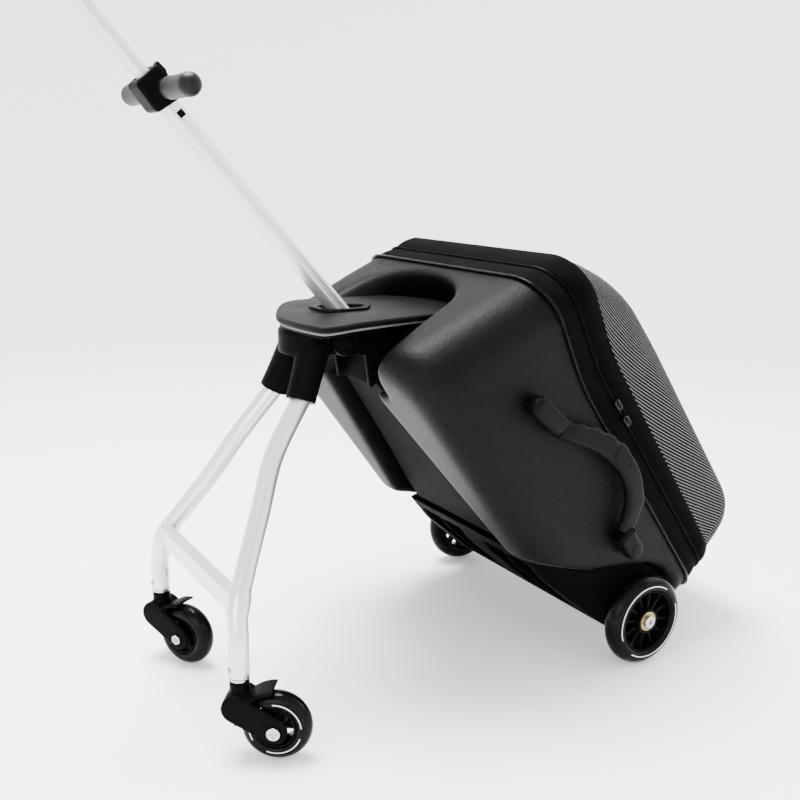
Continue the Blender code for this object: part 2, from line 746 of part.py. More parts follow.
def castors():
    for side, word in ((1, "left"), (-1, "right")):
        frame = castor_frame(side)
        across = frame @ Matrix(((0, 0, 1, 0), (1, 0, 0, 0), (0, 1, 0, 0), (0, 0, 0, 1)))
        axle_z = FRONT_RADIUS
        half = FRONT_WIDTH / 2
        fork = rod(f"castor_fork_{word}", 0.0094, 0.050, TUBE_END_Z - 0.0006, frame, plastic_black())
        plug = rod("stem_plug", 0.0060, 0.060, TUBE_END_Z + 0.012, frame, None, cutters, 16)
        arm = stadium((-0.0010, 0.0530), (TRAIL, axle_z), 0.0135, 0.0125)
        body = prism("fork_arms", [arm], -half - 0.0055, half + 0.0055, across, None, cutters, 0.0015)
        ring = arc((TRAIL, axle_z), FRONT_RADIUS + 0.0044, 92, 176, 8)
        ring += arc((TRAIL, axle_z), FRONT_RADIUS + 0.0012, 176, 92, 8)
        hood = prism("fork_hood", [ring], -half - 0.0030, half + 0.0030, across, None, cutters)
        clear = rod("wheel_room", FRONT_RADIUS + 0.0018, -half - 0.0010, half + 0.0010,
                    wheel_axis(frame, (0, TRAIL, axle_z)), None, cutters, 32)
        join(fork, plug, body, hood)
        cut(fork, clear)
        cut(fork, rod("fork_bore", 0.0037, -0.03, 0.03, wheel_axis(frame, (0, TRAIL, axle_z)), None, cutters, 16))
        centre = frame @ Matrix.Translation((0, TRAIL, axle_z))
        wheel = centre @ Matrix.Rotation(side * math.pi / 2, 4, "Y")
        turned(f"castor_tyre_{word}", tyre_profile(FRONT_RADIUS, FRONT_WIDTH, 0.0195), wheel, tyre_black(), 24)
        spoked_hub(f"castor_hub_{word}", 0.0192, 0.0080, 0.0037, 0.0190, 6, wheel, plastic_black())
        bolt = rod(f"castor_bolt_{word}", 0.0034, -half - 0.0085, half + 0.0062, wheel, steel(), parts, 16)
        head = rod("bolt_head", 0.0062, half + 0.0060, half + 0.0084, wheel, None, cutters, 20)
        nut = rod("bolt_nut", 0.0056, -half - 0.0085, -half - 0.0060, wheel, None, cutters, 6)
        join(bolt, head, nut)
        cut(bolt, rod("bolt_hex", 0.0026, half + 0.0070, half + 0.0100, wheel, None, cutters, 6))


# Leg frame

SOCKET_TOP = (0.0225, PIVOT[0] - 0.012, PIVOT[1] - 0.016)
SOCKET_END = (0.0310, AXLE_Y - 0.3390, 0.3050)


def smooth_path(knots, per_span):
    """A Catmull-Rom curve through knots."""
    points = [Vector(knot) for knot in knots]
    ends = [points[0] * 2 - points[1]] + points + [points[-1] * 2 - points[-2]]
    path = []
    for i in range(1, len(ends) - 2):
        before, first, second, after = ends[i - 1:i + 3]
        for k in range(per_span):
            t = k / per_span
            path.append(0.5 * ((2 * first) + (second - before) * t
                               + (2 * before - 5 * first + 4 * second - after) * t * t
                               + (3 * first - before - 3 * second + after) * t ** 3))
    path.append(points[-1])
    return path


def leg_knots(side, start=0.35):
    top = Vector(SOCKET_TOP).lerp(Vector(SOCKET_END), start)
    knots = [top, Vector(SOCKET_END), Vector((0.0440, AXLE_Y - 0.3740, 0.2580)),
             Vector((0.0640, AXLE_Y - 0.3980, 0.2130)), Vector((0.0980, AXLE_Y - 0.4350, 0.1480)),
             Vector((FRONT_TRACK / 2, AXLE_Y - 0.4422, 0.1130)), Vector((FRONT_TRACK / 2, STEM_Y, 0.0900)),
             Vector((FRONT_TRACK / 2, STEM_Y, TUBE_END_Z + 0.0034))]
    return [Vector((side * p.x, p.y, p.z)) for p in knots]


def leg_frame():
    world = Matrix.Identity(4)
    for side, word in ((1, "left"), (-1, "right")):
        leg = tube(f"leg_tube_{word}", smooth_path(leg_knots(side), 3), LEG_RADIUS, world, None, parts, 3)
        leg.data.materials.append(leg_silver())
        stem = castor_frame(side)
        cut(leg, rod("stem_room", 0.0064, TUBE_END_Z - 0.01, TUBE_END_Z + 0.014, stem, None, cutters, 16))
        ring = rod(f"tube_end_ring_{word}", LEG_RADIUS + 0.0001, TUBE_END_Z, TUBE_END_Z + 0.0029, stem, steel())
        cut(ring, rod("ring_bore", 0.0064, TUBE_END_Z - 0.01, TUBE_END_Z + 0.01, stem, None, cutters, 16))
        rivet_frame = Matrix.Translation((side * FRONT_TRACK / 2, STEM_Y - LEG_RADIUS, TUBE_END_Z + 0.010))
        rivet_frame = rivet_frame @ Matrix.Rotation(math.pi / 2, 4, "X")
        rivet = rod(f"leg_rivet_{word}", 0.0028, 0.0003, 0.0014, rivet_frame, steel(), parts, 16)
    bar_y = AXLE_Y - 0.4385
    bar_z = 0.1440
    ends = LEG_RADIUS
    outline = stadium((bar_y, bar_z - 0.0070), (bar_y, bar_z + 0.0070), 0.0065, 0.0065, 6)
    bar = prism("crossbar", [outline], -0.0985, 0.0985, world_side(), None, parts)
    bar.data.materials.append(leg_silver())
    for side in (1, -1):
        path = smooth_path(leg_knots(side), 3)
        cut(bar, tube("leg_room", path, ends + 0.0003, world, None, cutters, 3))
        cut(bar, rod("drain", 0.0010, -0.02, 0.02,
                     Matrix.Translation((side * 0.086, bar_y, bar_z + 0.006)) @ Matrix.Rotation(math.pi / 2, 4, "X"),
                     None, cutters, 8))
    return bar


def leg_yoke():
    """The moulded hinge half with two sockets for the legs."""
    pivot = Matrix.Translation((0, *PIVOT))
    yoke = rod("leg_yoke", 0.0125, -0.0300, 0.0300, wheel_axis(pivot, (0, 0, 0)), plastic_black(), parts, 24)
    world = Matrix.Identity(4)
    top = Vector(SOCKET_TOP)
    end = Vector(SOCKET_END)
    outline = [(PIVOT[0] - 0.004, PIVOT[1] + 0.0110), (PIVOT[0] - 0.0440, PIVOT[1] + 0.0125),
               (PIVOT[0] - 0.0505, PIVOT[1] + 0.0050), (PIVOT[0] - 0.0505, PIVOT[1] - 0.0080),
               (PIVOT[0] - 0.0450, PIVOT[1] - 0.0240), (PIVOT[0] - 0.0300, PIVOT[1] - 0.0300),
               (PIVOT[0] - 0.006, PIVOT[1] - 0.0110)]
    block = prism("yoke_block", [outline], -0.0290, 0.0290, world_side(), None, cutters, 0.003)
    join(yoke, block)
    for side in (1, -1):
        first = Vector((side * top.x, top.y, top.z))
        last = Vector((side * end.x, end.y, end.z))
        socket = tube("socket", [first, last], 0.0138, world, None, cutters, 4)
        join(yoke, socket)
    for side in (1, -1):
        knots = leg_knots(side, 0.33)
        cut(yoke, tube("leg_bore", smooth_path(knots, 3), LEG_RADIUS + 0.0003, world, None, cutters, 3))
    for side in (1, -1):
        room = wheel_axis(pivot, (side * 0.0403, 0, 0))
        cut(yoke, rod("cheek_room", 0.0162, -0.0100, 0.0100, room, None, cutters, 32))
    cut(yoke, rod("pin_bore", 0.0043, -0.05, 0.05, wheel_axis(pivot, (0, 0, 0)), None, cutters, 16))
    return yoke


def bracket_plate(name, low, high, collection):
    """A cheek: a quadrant about the pivot that grows into the spine's head."""
    y, z = PIVOT
    outline = arc(PIVOT, 0.0150, 60, 300, 15)
    outline += [(y + 0.0215, z - 0.0165), (y + 0.0265, z - 0.0520), (y + 0.0700, z - 0.0600),
                (y + 0.0700, z + 0.0050), (y + 0.0300, z + 0.0125)]
    return prism(name, [outline], low, high, world_side(), None, collection)


def hinge_bracket():
    """Two cheeks on the spine's head, with the sector housing between them."""
    y, z = PIVOT
    pivot = Matrix.Translation((0, *PIVOT))
    bracket = bracket_plate("hinge_bracket", 0.0306, 0.0360, parts)
    bracket.data.materials.append(plastic_black())
    outline = [(y + 0.0290, z - 0.0500), (y + 0.0700, z - 0.0600), (y + 0.0700, z + 0.0050), (y + 0.0420, z - 0.0060)]
    join(bracket, bracket_plate("far_cheek", -0.0360, -0.0306, cutters),
         prism("bracket_bridge", [outline], -0.0340, 0.0340, world_side(), None, cutters))
    cut(bracket, box("spine_room", (-0.1, BAY_FLOOR + 0.0016, -0.2), (0.1, -0.20, 0.2), case_frame(), None, cutters),
        rod("bracket_bore", 0.0043, -0.05, 0.05, wheel_axis(pivot, (0, 0, 0)), None, cutters, 16),
        prism("bracket_pole_bore", [rounded_box(OUTER_HALF[0] + 0.0010, OUTER_HALF[1] + 0.0010, 0.006)],
              -0.60, -0.20, along_pole_down(), None, cutters))
    return bracket


def pivot_hardware():
    pivot = wheel_axis(Matrix.Translation((0, *PIVOT)), (0, 0, 0))
    rod("pivot_pin", 0.0040, -0.0360, 0.0360, pivot, steel(), parts, 16)
    for side, word in ((1, "left"), (-1, "right")):
        frame = Matrix.Translation((0, *PIVOT)) @ Matrix.Rotation(side * math.pi / 2, 4, "Y")
        cap = [(0.0, 0.0363), (0.0120, 0.0363), (0.0120, 0.0375), (0.0095, 0.0380), (0.0090, 0.0375),
               (0.0070, 0.0375), (0.0062, 0.0390), (0.0, 0.0390)]
        cap_solid(f"pivot_cap_{word}", cap, frame, plastic_black())
    pin_frame = wheel_axis(Matrix.Translation((0, PIVOT[0] + 0.0400, PIVOT[1] - 0.0330)), (0, 0, 0))
    rod("catch_pin", 0.0028, 0.0364, 0.0405, pin_frame, steel(), parts, 12)


def cap_solid(name, profile, frame, mat, steps=24):
    """A turned solid whose profile starts and ends on the axis."""
    bm = bmesh.new()
    rings = []
    for radius, height in profile[1:-1]:
        ring = [bm.verts.new((radius * math.cos(2 * math.pi * k / steps), radius * math.sin(2 * math.pi * k / steps),
                              height)) for k in range(steps)]
        rings.append(ring)
    for lower, upper in zip(rings, rings[1:]):
        for k in range(steps):
            j = (k + 1) % steps
            bm.faces.new((lower[k], lower[j], upper[j], upper[k]))
    bm.faces.new(rings[0])
    bm.faces.new(rings[-1])
    return mesh_object(name, bm, frame, mat)


# Seat

SEAT_REAR = AXLE_Y - 0.1545
SEAT_HALF_REAR = 0.0740
SEAT_EDGE = ((-0.0850, -0.0250), (-0.0810, -0.0460), (-0.0646, -0.0640), (-0.0400, -0.0800),
             (-0.0102, -0.0955), (0.0100, -0.1040), (0.0290, -0.1080), (0.0597, -0.1074),
             (0.0840, -0.1035), (0.0950, -0.0995), (0.0985, -0.0930), (0.0965, -0.0800),
             (0.0885, -0.0563), (0.0800, -0.0094))


def seat_outline(inset=0.0):
    """Plan outline of the plate: a sweeping front edge, narrower round rear."""
    centre = SEAT_REAR - 0.052
    outline = list(SEAT_EDGE)
    outline += [(SEAT_HALF_REAR * math.cos(math.radians(a)), centre + 0.052 * math.sin(math.radians(a)))
                for a in range(0, 181, 15)]
    outline.append((-0.0810, 0.0050))
    return drawn_in(outline, inset)


def drawn_in(outline, inset):
    """An outline that runs anticlockwise, moved inwards by an inset."""
    points = []
    for i, (x, y) in enumerate(outline):
        before = outline[i - 1]
        after = outline[(i + 1) % len(outline)]
        along = Vector((after[0] - before[0], after[1] - before[1])).normalized()
        points.append((x - along.y * inset, y + along.x * inset))
    return points


def pole_hole(half_x, front, rear, notch):
    """The slot round the pole, with the notch at its rear."""
    y = AXLE_Y - 0.2800
    return [(half_x, y - front + 0.008), (half_x, y + rear - 0.006), (half_x * 0.45, y + rear),
            (0.004, y + rear + notch), (-0.004, y + rear + notch), (-half_x * 0.45, y + rear),
            (-half_x, y + rear - 0.006), (-half_x, y - front + 0.008), (-half_x + 0.007, y - front),
            (half_x - 0.007, y - front)]


def seat():
    flat = Matrix.Identity(4)
    low = SEAT_TOP - SEAT_THICK
    plate = prism("seat_plate", [seat_outline(), pole_hole(0.0205, 0.0245, 0.0265, 0.0060)],
                  low, SEAT_TOP, flat, None, parts)
    plate.data.materials.append(plastic_black())
    under_low = low - GAP - UNDERLAYER_THICK
    layer = prism("seat_underlayer", [seat_outline(0.0035), pole_hole(0.0205, 0.0245, 0.0265, 0.0060)],
                  under_low, low - GAP, flat, None, parts)
    layer.data.materials.append(layer_grey())
    grommet = prism("pole_grommet", [pole_hole(0.0201, 0.0241, 0.0261, 0.0058), pole_hole(0.0142, 0.0180, 0.0225, 0.0050)],
                    under_low, SEAT_TOP + 0.0012, flat, None, parts)
    grommet.data.materials.append(rubber_black())


# Pole

def grooved_section(half_x, half_m, groove):
    right = [(half_x, -half_m * 0.30), (half_x - groove, -half_m * 0.20), (half_x - groove, half_m * 0.20),
             (half_x, half_m * 0.30)]
    top = [(half_x * math.cos(math.radians(a)), half_m * 0.35 + half_m * 0.65 * math.sin(math.radians(a)))
           for a in range(15, 180, 15)]
    left = [(-x, -m) for x, m in right]
    bottom = [(-x, -m) for x, m in top]
    return right + top + left + bottom


def pole():
    frame = along_pole_down()
    outer = prism("pole_outer", [grooved_section(*OUTER_HALF, 0.0007),
                                 grooved_section(OUTER_HALF[0] - POLE_WALL, OUTER_HALF[1] - POLE_WALL, 0.0004)],
                  OUTER_TOP, OUTER_BOTTOM, frame, None, parts)
    outer.data.materials.append(silver())
    window = box("lock_window", (0.0, -0.6780, -0.0010), (0.02, -0.6730, 0.0040), pole_frame(), None, cutters)
    cut(outer, window)
    inner = prism("pole_inner", [grooved_section(*INNER_HALF, 0.0008), rounded_box(0.0070, 0.0045, 0.003)],
                  INNER_TOP, INNER_BOTTOM, frame, None, parts)
    inner.data.materials.append(silver())
    return outer, inner


LEVER_HINGE = (0, -0.7045, 0.0150)
GRIP_AXIS = (0, -0.7005, 0.0020)


def t_bar():
    """The child's handlebar: a collar clamped on the pole and two grips."""
    pole = pole_frame()
    outline = [(-0.7190, -0.0120), (-0.7160, -0.0145), (-0.6925, -0.0160), (-0.6890, -0.0145), (-0.6860, 0.0060),
               (-0.6880, 0.0110), (-0.6930, 0.0130), (-0.7150, 0.0130), (-0.7190, 0.0110)]
    collar = prism("t_bar_collar", [outline], -0.0142, 0.0142, side_of(pole), None, parts, 0.0015)
    collar.data.materials.append(plastic_black())
    boss = rod("grip_boss", 0.0080, -0.0300, 0.0300, wheel_axis(pole, GRIP_AXIS), None, cutters, 24)
    join(collar, boss)
    cut(collar, prism("collar_bore", [rounded_box(OUTER_HALF[0] + 0.0004, OUTER_HALF[1] + 0.0004, 0.004)],
                      OUTER_TOP - 0.0005, -0.60, along_pole_down(), None, cutters))
    cut(collar, prism("collar_throat", [rounded_box(INNER_HALF[0] + 0.0005, INNER_HALF[1] + 0.0005, 0.004)],
                      -0.80, -0.60, along_pole_down(), None, cutters))
    for side, word in ((1, "left"), (-1, "right")):
        frame = pole @ Matrix.Translation(GRIP_AXIS) @ Matrix.Rotation(side * math.pi / 2, 4, "Y")
        profile = [(0, 0.0303), (0.0092, 0.0303), (0.0098, 0.0340), (0.0094, 0.0560), (0.0098, 0.0740)]
        profile += [(0.0100 * math.cos(math.radians(a)), 0.0780 + 0.0100 * math.sin(math.radians(a)))
                    for a in range(0, 80, 15)] + [(0, 0.0880)]
        cap_solid(f"t_grip_{word}", profile, frame, rubber_black(), 16)
    lever = prism("collar_lever", [[(-0.7180, 0.0135), (-0.7040, 0.0135), (-0.7030, 0.0155), (-0.7100, 0.0180),
                                    (-0.7190, 0.0170)]], -0.0050, 0.0050, side_of(pole), None, parts, 0.0006)
    lever.data.materials.append(plastic_black())


def pull_handle():
    """The adult's handle, which the photograph cuts off."""
    pole = pole_frame()
    outline = rounded_box(0.0560, 0.0150, 0.0120)
    across = pole @ Matrix.Translation((0, -0.9780, 0))
    body = prism("pull_handle", [outline], -0.0125, 0.0125, across, None, parts, 0.005)
    body.data.materials.append(rubber_black())
    neck = box("handle_neck", (-0.0125, -0.9700, -0.0100), (0.0125, -0.9450, 0.0100), pole, None, cutters)
    join(body, neck)
    cut(body, prism("handle_socket", [rounded_box(INNER_HALF[0] + 0.0004, INNER_HALF[1] + 0.0004, 0.004)],
                    INNER_TOP - 0.0005, -0.90, along_pole_down(), None, cutters))
    cut(body, box("button_room", (-0.0104, -1.0000, -0.0064), (0.0104, -0.9860, 0.0064), pole, None, cutters))
    box("pull_button", (-0.0100, -0.9955, -0.0060), (0.0100, -0.9895, 0.0060), pole, plastic_black())


def on_axis(name, frame, nodes):
    """Parents moving pieces to an empty that stands on their joint's axis."""
    axis = bpy.data.objects.new(name, None)
    axis.empty_display_size = 0.03
    parts.objects.link(axis)
    axis.matrix_world = frame
    bpy.context.view_layer.update()
    for node in nodes:
        obj = bpy.data.objects[node]
        obj.parent = axis
        obj.matrix_parent_inverse = axis.matrix_world.inverted()
    return axis


def moving_groups():
    pivot = Matrix.Translation((0, *PIVOT))
    groups = {"leg_fold_axis": (pivot, ["leg_yoke", "crossbar"])}
    for side, word in ((1, "left"), (-1, "right")):
        castor = castor_frame(side)
        rear = case_frame() @ Matrix.Translation((side * REAR_TRACK / 2, 0, 0))
        groups["leg_fold_axis"][1].extend([f"leg_tube_{word}", f"tube_end_ring_{word}", f"leg_rivet_{word}"])
        groups[f"swivel_axis_{word}"] = (castor, [f"castor_fork_{word}", f"castor_bolt_{word}"])
        groups[f"castor_axis_{word}"] = (castor @ Matrix.Translation((0, TRAIL, FRONT_RADIUS)),
                                         [f"castor_tyre_{word}", f"castor_hub_{word}"])
        groups[f"rear_axis_{word}"] = (rear, [f"rear_tyre_{word}", f"rear_hub_{word}", f"rear_bearing_{word}"])
    pole = pole_frame()
    groups["pole_slide_axis"] = (pole, ["pole_outer", "t_bar_collar", "t_grip_left", "t_grip_right"])
    groups["handle_slide_axis"] = (pole, ["pole_inner", "pull_handle"])
    groups["lever_axis"] = (pole @ Matrix.Translation(LEVER_HINGE), ["collar_lever"])
    groups["button_axis"] = (pole @ Matrix.Translation((0, -0.9895, 0)), ["pull_button"])
    case = case_frame()
    groups["carry_axis"] = (case @ Matrix.Translation((HANDLE_AXIS[0], -0.19, HANDLE_AXIS[1])), ["carry_grip"])
    groups["lid_axis"] = (case @ Matrix.Translation(LID_HINGE), ["lid_gusset", "lid_panel", "lid_liner"])
    for number, u in ((1, -0.228), (2, -0.205)):
        groups[f"slider_axis_{number}"] = (case @ Matrix.Translation((HALF_WIDTH, u, ZIP_LOW)),
                                           [f"zip_slider_{number}", f"zip_pull_{number}"])
    for name, (frame, nodes) in groups.items():
        on_axis(name, frame, nodes)


def main():
    start_scene()
    rear_shell()
    edge_bands()
    lid_panel()
    lid_liner()
    hinge_tape()
    zip_slider(1, -0.228)
    zip_slider(2, -0.205)
    carry_handle()
    spine()
    chassis()
    rear_wheels()
    castors()
    leg_frame()
    leg_yoke()
    hinge_bracket()
    pivot_hardware()
    seat()
    pole()
    t_bar()
    pull_handle()
    moving_groups()


main()
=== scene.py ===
"""Looks of the ride-on suitcase.

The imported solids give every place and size; the pieces here give each surface
its real form and finish. Lengths are in metres, +Z is up and the rider faces
-Y. Three working frames are used: the case frame (x across, u down the case,
n from its back to its lid), the pole frame (x across, v down the pole, m
square to it) and one frame for each wheel."""

import math

import bmesh
import bpy
from bpy.props import FloatProperty, FloatVectorProperty, IntProperty, PointerProperty
from mathutils import Matrix, Vector


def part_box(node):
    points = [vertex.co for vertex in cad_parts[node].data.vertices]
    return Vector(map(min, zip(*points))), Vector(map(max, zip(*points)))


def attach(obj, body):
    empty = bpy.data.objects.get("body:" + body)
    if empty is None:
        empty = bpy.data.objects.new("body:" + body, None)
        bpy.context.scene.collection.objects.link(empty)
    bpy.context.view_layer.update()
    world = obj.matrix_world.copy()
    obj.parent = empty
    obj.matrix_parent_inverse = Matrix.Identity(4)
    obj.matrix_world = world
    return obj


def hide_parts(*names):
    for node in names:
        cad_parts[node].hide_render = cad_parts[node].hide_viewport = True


bl_info = {
    "name": "Ride-on suitcase",
    "version": (1, 0, 0),
    "blender": (4, 5, 0),
    "location": "3D View > Sidebar > Suitcase",
    "description": "Builds the looks of a ride-on suitcase over its packed solids",
    "category": "Object",
}

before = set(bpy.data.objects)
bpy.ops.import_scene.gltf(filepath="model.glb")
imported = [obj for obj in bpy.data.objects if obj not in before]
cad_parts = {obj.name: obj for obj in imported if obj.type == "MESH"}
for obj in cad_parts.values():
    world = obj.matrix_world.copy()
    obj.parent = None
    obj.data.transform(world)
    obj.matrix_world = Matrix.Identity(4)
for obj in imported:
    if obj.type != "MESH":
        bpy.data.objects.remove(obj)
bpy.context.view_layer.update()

# Driving dimensions, as in the solids
AXLE_Y = (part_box("rear_tyre_left")[0].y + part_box("rear_tyre_left")[1].y) / 2
REAR_RADIUS = 0.050
REAR_WIDTH = 0.024
REAR_TRACK = 0.342
FRONT_RADIUS = 0.033
FRONT_WIDTH = 0.022
FRONT_TRACK = 0.220
STEM_Y = AXLE_Y - 0.4426
TRAIL = 0.034
SWIVEL_LEFT = math.radians(37)
SWIVEL_RIGHT = math.radians(60)
CASE_TILT = math.radians(54)
HALF_WIDTH = 0.165
CASE_TOP = -0.412
CASE_BOTTOM = 0.052
CASE_BACK = -0.066
SEAM = 0.078
SEAM_RISE = 0.016
FLARE = 0.03
WALL = 0.004
POLE_TILT = math.radians(49)
PIVOT = (AXLE_Y - 0.290, 0.360)
SEAT_TOP = 0.387
SEAT_LOW = 0.3756
LEG_RADIUS = 0.0095
TUBE_END_Z = 0.0760
ZIP_LOW = SEAM + 0.0230
ZIP_HIGH = ZIP_LOW + 0.0034
LID_BASE = ZIP_HIGH + 0.0004
LID_STEP = LID_BASE + 0.0195
TOP_TAPER = 0.85
LID_CROWN = 0.194
HANDLE_AXIS = (HALF_WIDTH + 0.0095, 0.0295)
SIDES = ((1, "left"), (-1, "right"))


# Frames

CASE = Matrix.Translation((0, AXLE_Y, REAR_RADIUS)) @ Matrix.Rotation(-CASE_TILT, 4, "X")
POLE = Matrix.Translation((0, AXLE_Y + 0.0035, 0.060)) @ Matrix.Rotation(-POLE_TILT, 4, "X")
WORLD = Matrix.Identity(4)
GRIP_SPOT = (0, -0.7005, 0.0020)
SIDE_VIEW = Matrix(((0, 0, 1, 0), (1, 0, 0, 0), (0, 1, 0, 0), (0, 0, 0, 1)))
DOWN_POLE = POLE @ Matrix(((-1, 0, 0, 0), (0, 0, 1, 0), (0, 1, 0, 0), (0, 0, 0, 1)))


def castor_frame(side):
    angle = SWIVEL_LEFT if side > 0 else SWIVEL_RIGHT
    return Matrix.Translation((side * FRONT_TRACK / 2, STEM_Y, 0)) @ Matrix.Rotation(-angle, 4, "Z")


def wheel_frame(side, front):
    """A wheel's own frame: Z along its axle, outwards on that side."""
    if front:
        centre = castor_frame(side) @ Matrix.Translation((0, TRAIL, FRONT_RADIUS))
    else:
        centre = CASE @ Matrix.Translation((side * REAR_TRACK / 2, 0, 0))
    return centre @ Matrix.Rotation(side * math.pi / 2, 4, "Y")


def on_x_axis(frame_of, place):
    return frame_of @ Matrix.Translation(place) @ Matrix.Rotation(math.pi / 2, 4, "Y")


# Settings a user would change

def length(name, description, default, low, high):
    return FloatProperty(name=name, description=description, default=default, min=low, max=high,
                         unit="LENGTH")


def colour(name, description, default):
    return FloatVectorProperty(name=name, description=description, default=default, size=3, min=0, max=1,
                               subtype="COLOR")


class CaseSettings(bpy.types.PropertyGroup):
    shell_voxel: length("Shell fineness", "Voxel size of the moulded shell", 0.0026, 0.0015, 0.008)
    grain_size: length("Leather grain", "Size of one cell of the shell's grain", 0.0019, 0.0004, 0.004)
    row_pitch: length("Mesh rows", "Distance between the rows of dashes on the lid", 0.0032, 0.001, 0.01)
    dash_pitch: length("Mesh dashes", "Distance between dashes along a row", 0.0026, 0.001, 0.01)
    rib_pitch: length("Gusset ribs", "Distance between the ribs of the gusset's cloth", 0.0016, 0.0005, 0.005)


class FinishSettings(bpy.types.PropertyGroup):
    shell: colour("Shell", "Colour of the leather-grained shell", (0.0010, 0.0010, 0.0011))
    cloth: colour("Cloth", "Colour of the gusset's cloth", (0.0005, 0.0005, 0.0006))
    dash: colour("Mesh dashes", "Colour of the dashes on the lid", (0.24, 0.24, 0.237))
    plastic: colour("Plastic", "Colour of the moulded plastic", (0.0015, 0.0015, 0.0018))
    tyre: colour("Tyres", "Colour of the glossy tyres", (0.0015, 0.0015, 0.0015))
    leg: colour("Legs", "Colour of the powder-coated legs", (0.60, 0.605, 0.60))
    pole: colour("Pole", "Colour of the anodised pole", (0.58, 0.58, 0.565))


class StageSettings(bpy.types.PropertyGroup):
    floor: colour("Floor", "Colour of the floor", (0.90, 0.905, 0.91))
    key_power: FloatProperty(name="Key light", description="Power of the overhead softbox in watts",
                             default=210.0, min=0, max=800)
    fill_power: FloatProperty(name="Fill light", description="Power of the side softbox in watts",
                              default=28.0, min=0, max=500)
    wheel_spokes: IntProperty(name="Spokes", description="Spokes in each rear wheel",
                              default=12, min=3, max=24)


# Shader arithmetic

class Value:
    """A shader socket that Python operators work on."""

    def __init__(self, paint, socket):
        self.paint = paint
        self.socket = socket

    def maths(self, operation, *terms):
        return self.paint.node("ShaderNodeMath", {"operation": operation}, dict(enumerate(terms)))

    def __add__(self, other):
        return self.maths("ADD", self, other)

    def __sub__(self, other):
        return self.maths("SUBTRACT", self, other)

    def __rsub__(self, other):
        return self.maths("SUBTRACT", other, self)

    def __mul__(self, other):
        return self.maths("MULTIPLY", self, other)

    def __truediv__(self, other):
        return self.maths("DIVIDE", self, other)

    def __gt__(self, other):
        return self.maths("GREATER_THAN", self, other)

    def fraction(self):
        return self.maths("FRACT", self)

    def distance(self):
        return self.maths("ABSOLUTE", self)

    def at_least(self, other):
        return self.maths("MAXIMUM", self, other)

    def at_most(self, other):
        return self.maths("MINIMUM", self, other)

    __radd__ = __add__
    __rmul__ = __mul__


class Paint:
    """A material under construction."""

    def __init__(self, name, tone, roughness, metallic=0.0, specular=0.05):
        self.material = bpy.data.materials.new(name)
        self.material.use_nodes = True
        self.tree = self.material.node_tree
        self.shader = self.tree.nodes["Principled BSDF"]
        self.set("Base Color", (*tone, 1.0))
        self.set("Roughness", roughness)
        self.set("Metallic", metallic)
        self.set("Specular IOR Level", specular)

    def node(self, kind, settings, sockets, output=0):
        made = self.tree.nodes.new(kind)
        for name, value in settings.items():
            setattr(made, name, value)
        for key, value in sockets.items():
            self.plug(value, made.inputs[key])
        return Value(self, made.outputs[output])

    def plug(self, value, socket):
        if isinstance(value, Value):
            self.tree.links.new(value.socket, socket)
        else:
            socket.default_value = value

    def set(self, name, value):
        self.plug(value, self.shader.inputs[name])

    def place(self, where=WORLD):
        """Object coordinates, read in one of the working frames."""
        inverse = where.inverted()
        coordinates = self.node("ShaderNodeTexCoord", {}, {}, 3)
        sockets = {"Vector": coordinates, "Location": inverse.to_translation(),
                   "Rotation": inverse.to_euler()}
        return self.node("ShaderNodeMapping", {}, sockets)

    def unwrapped(self):
        return self.node("ShaderNodeUVMap", {}, {})

    def part_of(self, vector, axis):
        return self.node("ShaderNodeSeparateXYZ", {}, {"Vector": vector}, axis)

    def noise(self, vector, scale, detail=2.0, roughness=0.5):
        sockets = {"Vector": vector, "Scale": scale, "Detail": detail, "Roughness": roughness}
        return self.node("ShaderNodeTexNoise", {}, sockets)

    def cells(self, vector, scale):
        return self.node("ShaderNodeTexVoronoi", {}, {"Vector": vector, "Scale": scale})

    def weave(self, vector, scale):
        return self.node("ShaderNodeTexChecker", {}, {"Vector": vector, "Scale": scale}, 1)

    def stretch(self, vector, scale):
        return self.node("ShaderNodeMapping", {}, {"Vector": vector, "Scale": scale})

    def tint(self, amount, first, second):
        sockets = {0: amount, 6: (*first, 1.0), 7: (*second, 1.0)}
        return self.node("ShaderNodeMix", {"data_type": "RGBA"}, sockets, 2)

    def vary(self, amount, first, second):
        """Lets the base colour run between two tones."""
        self.set("Base Color", self.tint(amount, first, second))

    def relief(self, height, depth, strength):
        """Turns a 0 to 1 height into a normal, its depth in metres."""
        sockets = {"Height": height, "Distance": depth, "Strength": strength}
        self.set("Normal", self.node("ShaderNodeBump", {}, sockets))
        return self


def scaled(tone, factor):
    return tuple(c * factor for c in tone)


finishes = {}
THREAD_PITCH = 0.0009
ROW_ALONG, ROW_ACROSS = 0.868, 0.496


def finish(maker):
    """Makes each material once, the first time it is asked for."""
    def ask():
        name = maker.__name__
        if name not in finishes:
            scene = bpy.context.scene
            finishes[name] = maker(scene.suitcase_case, scene.suitcase_finish).material
        return finishes[name]
    return ask


@finish
def shell_leather(case, colours):
    """Leather-grained moulded shell with a broad soft sheen."""
    paint = Paint("shell_leather", colours.shell, 0.40, specular=0.055)
    place = paint.place(CASE)
    cells = paint.cells(place, 1 / case.grain_size)
    fine = paint.noise(place, 1.6 / case.grain_size, 3.0)
    broad = paint.noise(place, 14.0)
    grain = cells * 0.75 + fine * 0.35
    paint.vary(broad * 0.6 + fine * 0.3, colours.shell, scaled(colours.shell, 1.3))
    paint.set("Roughness", 0.36 + broad * 0.08 + grain * 0.10)
    return paint.relief(grain, 0.00042, 0.9)


